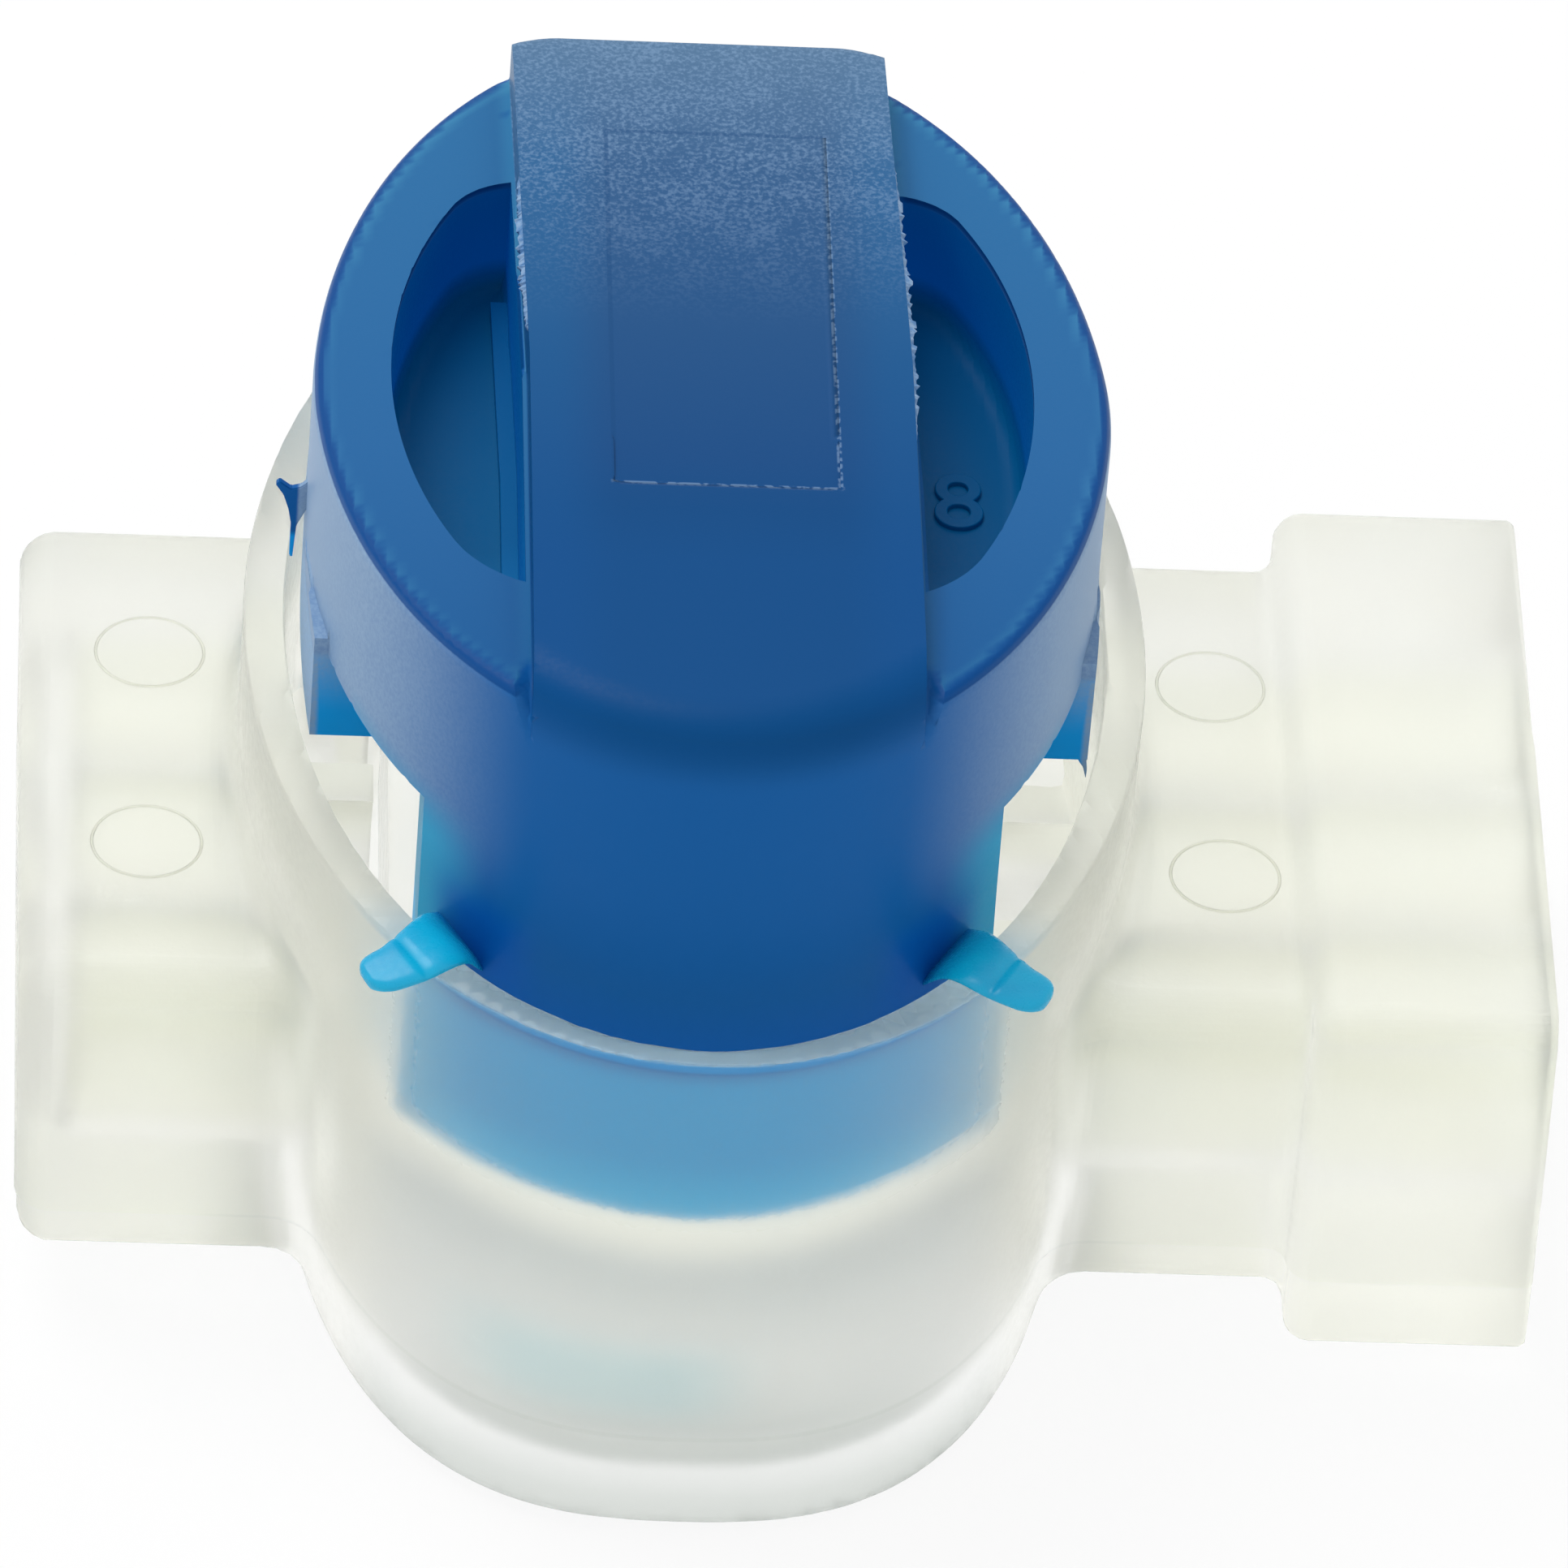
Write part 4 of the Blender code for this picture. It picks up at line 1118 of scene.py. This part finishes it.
def edge_flash(scene, side, back, front):
    """A ragged fin along one top edge of the bar."""
    size = in_mm(scene.connector_cap)
    middle = scene.connector_housing.well_x / MM
    chance = random.Random(7 + side)
    steps = 90
    shape = bmesh.new()
    rows = []
    for step in range(steps + 1):
        share = step / steps
        y = back + (front - back) * share
        edge = middle + float(bar_line(y)) + side * (size["bar_half"] - 0.03)
        height = float(bar_height(size, y)) - 0.005
        swell = math.sin(math.pi * share) ** 0.5
        width = 0.04 + swell * (0.05 + 0.11 * chance.random() ** 2)
        lift = 0.05 * chance.uniform(-1.0, 1.0)
        rows.append([shape.verts.new(Vector(point) * MM) for point in (
            (edge, y, height), (edge, y, height - 0.32),
            (edge + side * width, y + 0.03 * chance.uniform(-1.0, 1.0), height - 0.12 + lift))])
    for row, following in zip(rows, rows[1:]):
        for first, second in ((0, 1), (1, 2), (2, 0)):
            shape.faces.new((row[first], row[second], following[second], following[first]))
    shape.faces.new(rows[0])
    shape.faces.new(rows[-1])
    bmesh.ops.recalc_face_normals(shape, faces=shape.faces[:])
    mesh = bpy.data.meshes.new("edge_flash")
    shape.to_mesh(mesh)
    shape.free()
    return mesh


def wall_flash(scene):
    """A small goblet-shaped fin on the cap's left wall."""
    middle = scene.connector_housing.well_x / MM
    outline = [(-7.62, 15.35), (-7.80, 15.16), (-8.00, 15.10), (-8.22, 15.28),
               (-8.30, 15.20), (-8.14, 14.95), (-8.03, 14.60), (-7.97, 14.25),
               (-7.97, 13.45), (-7.91, 13.40), (-7.86, 14.20), (-7.62, 14.75)]
    return thin_plate("wall_flash", [(middle + x, z) for x, z in outline], -0.05, 0.10)


def leg_flash(scene):
    """A drawn-out point under the right leg's front corner."""
    middle = scene.connector_housing.well_x / MM
    outline = [(7.30, 12.06), (7.49, 12.06), (7.53, 11.72), (7.52, 11.50), (7.45, 11.78), (7.36, 11.92)]
    return thin_plate("leg_flash", [(middle + x, z) for x, z in outline], -3.68, -3.56)


def thin_plate(name, outline, front, back):
    """A plate across the view with bevelled edges, from its outline in x and z."""
    shape = bmesh.new()
    face = shape.faces.new([shape.verts.new(Vector((x, front, z)) * MM) for x, z in outline])
    sides = bmesh.ops.extrude_face_region(shape, geom=[face])["geom"]
    moved = [part for part in sides if isinstance(part, bmesh.types.BMVert)]
    bmesh.ops.translate(shape, verts=moved, vec=Vector((0.0, back - front, 0.0)) * MM)
    bmesh.ops.recalc_face_normals(shape, faces=shape.faces[:])
    bmesh.ops.bevel(shape, geom=shape.edges[:], offset=0.02 * MM, segments=2, affect='EDGES')
    mesh = bpy.data.meshes.new(name)
    shape.to_mesh(mesh)
    shape.free()
    return mesh


class CONNECTOR_OT_gel(Operator):
    """Builds the sealing gel in the well"""
    bl_idname = "connector.gel"
    bl_label = "Sealing gel"

    def execute(self, context):
        scene = context.scene
        size = in_mm(scene.connector_housing)
        low, high = GEL_LOW / MM, GEL_HIGH / MM
        lines = [
            grid_line(low.x, high.x, 0.45, 0.2, (low.x, high.x), 0.7),
            grid_line(low.y, high.y, 0.45, 0.25, (low.y, high.y), 0.7),
            grid_line(low.z, high.z, 0.40, 0.12, (low.z, high.z), 0.6),
        ]
        mesh = skin("gel_fill", gel_field(size), lines)
        gel = place_piece("gel_fill", mesh, shared("clear_gel", clear_gel, scene), "base", "gel",
                          "sealant_gel")
        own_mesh(gel)
        return {'FINISHED'}


class CONNECTOR_OT_contact(Operator):
    """Finishes the slotted contact inside the cap"""
    bl_idname = "connector.contact"
    bl_label = "Contact"

    def execute(self, context):
        look = shared("tinned_sheet", tinned_sheet, context.scene)
        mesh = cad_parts["contact"].data
        mesh.materials.clear()
        mesh.materials.append(look)
        return {'FINISHED'}


class CONNECTOR_OT_stage(Operator):
    """Sets up the floor, the lights and the camera"""
    bl_idname = "connector.stage"
    bl_label = "Stage"

    def execute(self, context):
        scene = context.scene
        make_floor(scene)
        make_lights(scene)
        make_camera(scene)
        scene.view_settings.view_transform = 'Standard'
        return {'FINISHED'}


def make_floor(scene):
    """A plain white floor that keeps the shadow."""
    half = 1.5
    mesh = bpy.data.meshes.new("floor")
    mesh.from_pydata([(-half, -half, 0.0), (half, -half, 0.0), (half, half, 0.0), (-half, half, 0.0)], [],
                     [(0, 1, 2, 3)])
    look = bpy.data.materials.new("white_floor")
    look.use_nodes = True
    graph = Graph(look.node_tree)
    shader = look.node_tree.nodes["Principled BSDF"]
    shader.inputs["Base Color"].default_value = (0.92, 0.92, 0.92, 1.0)
    shader.inputs["Roughness"].default_value = 0.9
    white = graph.add("ShaderNodeEmission", None, {"Color": (1.0, 1.0, 1.0, 1.0), "Strength": 1.0})
    rays = graph.add("ShaderNodeLightPath")
    seen = seen_rays(graph, rays)
    share = graph.math('MULTIPLY', seen, 0.9)
    mixed = graph.add("ShaderNodeMixShader", None, {0: share, 1: shader.outputs[0], 2: white.outputs[0]})
    graph.feed(look.node_tree.nodes["Material Output"].inputs["Surface"], mixed.outputs[0])
    mesh.materials.append(look)
    floor = bpy.data.objects.new("floor", mesh)
    scene.collection.objects.link(floor)


def seen_rays(graph, rays):
    """1 for rays that show the background: from the camera, mirrored or passed on."""
    first = graph.math('MAXIMUM', rays.outputs["Is Camera Ray"], rays.outputs["Is Glossy Ray"])
    return graph.math('MAXIMUM', first, rays.outputs["Is Transmission Ray"])


def make_lights(scene):
    """A white surround and one broad soft key from above and behind."""
    stage = scene.connector_stage
    world = bpy.data.worlds.new("studio")
    world.use_nodes = True
    scene.world = world
    graph = Graph(world.node_tree)
    rays = graph.add("ShaderNodeLightPath")
    seen = seen_rays(graph, rays)
    level = graph.add("ShaderNodeMapRange", None, {"Value": seen, "To Min": stage.ambient, "To Max": 1.0})
    back = world.node_tree.nodes["Background"]
    back.inputs["Color"].default_value = (1.0, 1.0, 1.0, 1.0)
    graph.feed(back.inputs["Strength"], level.outputs["Result"])

    lamp = bpy.data.lights.new("key", 'AREA')
    lamp.shape = 'DISK'
    lamp.size = 0.22
    lamp.energy = stage.key
    key = bpy.data.objects.new("key", lamp)
    key.location = (-0.12, 0.10, 0.30)
    key.rotation_euler = Vector((0.12, -0.10, -0.30)).to_track_quat('-Z', 'Y').to_euler()
    scene.collection.objects.link(key)


def make_camera(scene):
    """A long lens, in front and above, turned a little about its view."""
    stage = scene.connector_stage
    az, el, roll = stage.azimuth, stage.elevation, stage.roll
    back = Vector((math.sin(az) * math.cos(el), -math.cos(az) * math.cos(el), math.sin(el)))
    right = Vector((math.cos(az), math.sin(az), 0.0))
    up = back.cross(right)
    across = right * math.cos(roll) + up * math.sin(roll)
    upward = up * math.cos(roll) - right * math.sin(roll)
    focus = Vector((scene.connector_housing.well_x, 0.0, 8.425 * MM))
    place = focus + back * stage.distance
    target = focus + across * 1.965 * MM - upward * 0.351 * MM
    toward = (place - target).normalized()
    across = (across - toward * across.dot(toward)).normalized()
    upward = toward.cross(across)
    turn = Matrix((across, upward, toward)).transposed().to_4x4()
    data = bpy.data.cameras.new("camera")
    data.lens = stage.lens
    data.sensor_width = 36.0
    data.clip_start, data.clip_end = 0.01, 10.0
    camera = bpy.data.objects.new("camera", data)
    camera.matrix_world = Matrix.Translation(place) @ turn
    scene.collection.objects.link(camera)
    scene.camera = camera


class CONNECTOR_PT_panel(Panel):
    """Lists the connector's pieces and sizes"""
    bl_label = "Wire connector"
    bl_idname = "CONNECTOR_PT_panel"
    bl_space_type = 'VIEW_3D'
    bl_region_type = 'UI'
    bl_category = "Connector"

    def draw(self, context):
        for operator in OPERATORS:
            self.layout.operator(operator.bl_idname)
        for name in GROUPS:
            box = self.layout.box()
            sizes = getattr(context.scene, name)
            for label in type(sizes).__annotations__:
                box.prop(sizes, label)


GROUPS = {
    "connector_housing": HousingSizes,
    "connector_cap": CapSizes,
    "connector_finish": Finishes,
    "connector_stage": StageSizes,
}
OPERATORS = (
    CONNECTOR_OT_stage,
    CONNECTOR_OT_housing,
    CONNECTOR_OT_marks,
    CONNECTOR_OT_gel,
    CONNECTOR_OT_cap,
    CONNECTOR_OT_number,
    CONNECTOR_OT_tabs,
    CONNECTOR_OT_flash,
    CONNECTOR_OT_contact,
)


def register():
    for kind in (*GROUPS.values(), *OPERATORS, CONNECTOR_PT_panel):
        bpy.utils.register_class(kind)
    for name, kind in GROUPS.items():
        setattr(bpy.types.Scene, name, PointerProperty(type=kind))


def unregister():
    for name in GROUPS:
        delattr(bpy.types.Scene, name)
    for kind in reversed((*GROUPS.values(), *OPERATORS, CONNECTOR_PT_panel)):
        bpy.utils.unregister_class(kind)


def main():
    register()
    bpy.ops.connector.stage()
    bpy.ops.connector.housing()
    bpy.ops.connector.marks()
    bpy.ops.connector.gel()
    bpy.ops.connector.cap()
    bpy.ops.connector.number()
    bpy.ops.connector.tabs()
    bpy.ops.connector.flash()
    bpy.ops.connector.contact()


if __name__ == "__main__":
    main()
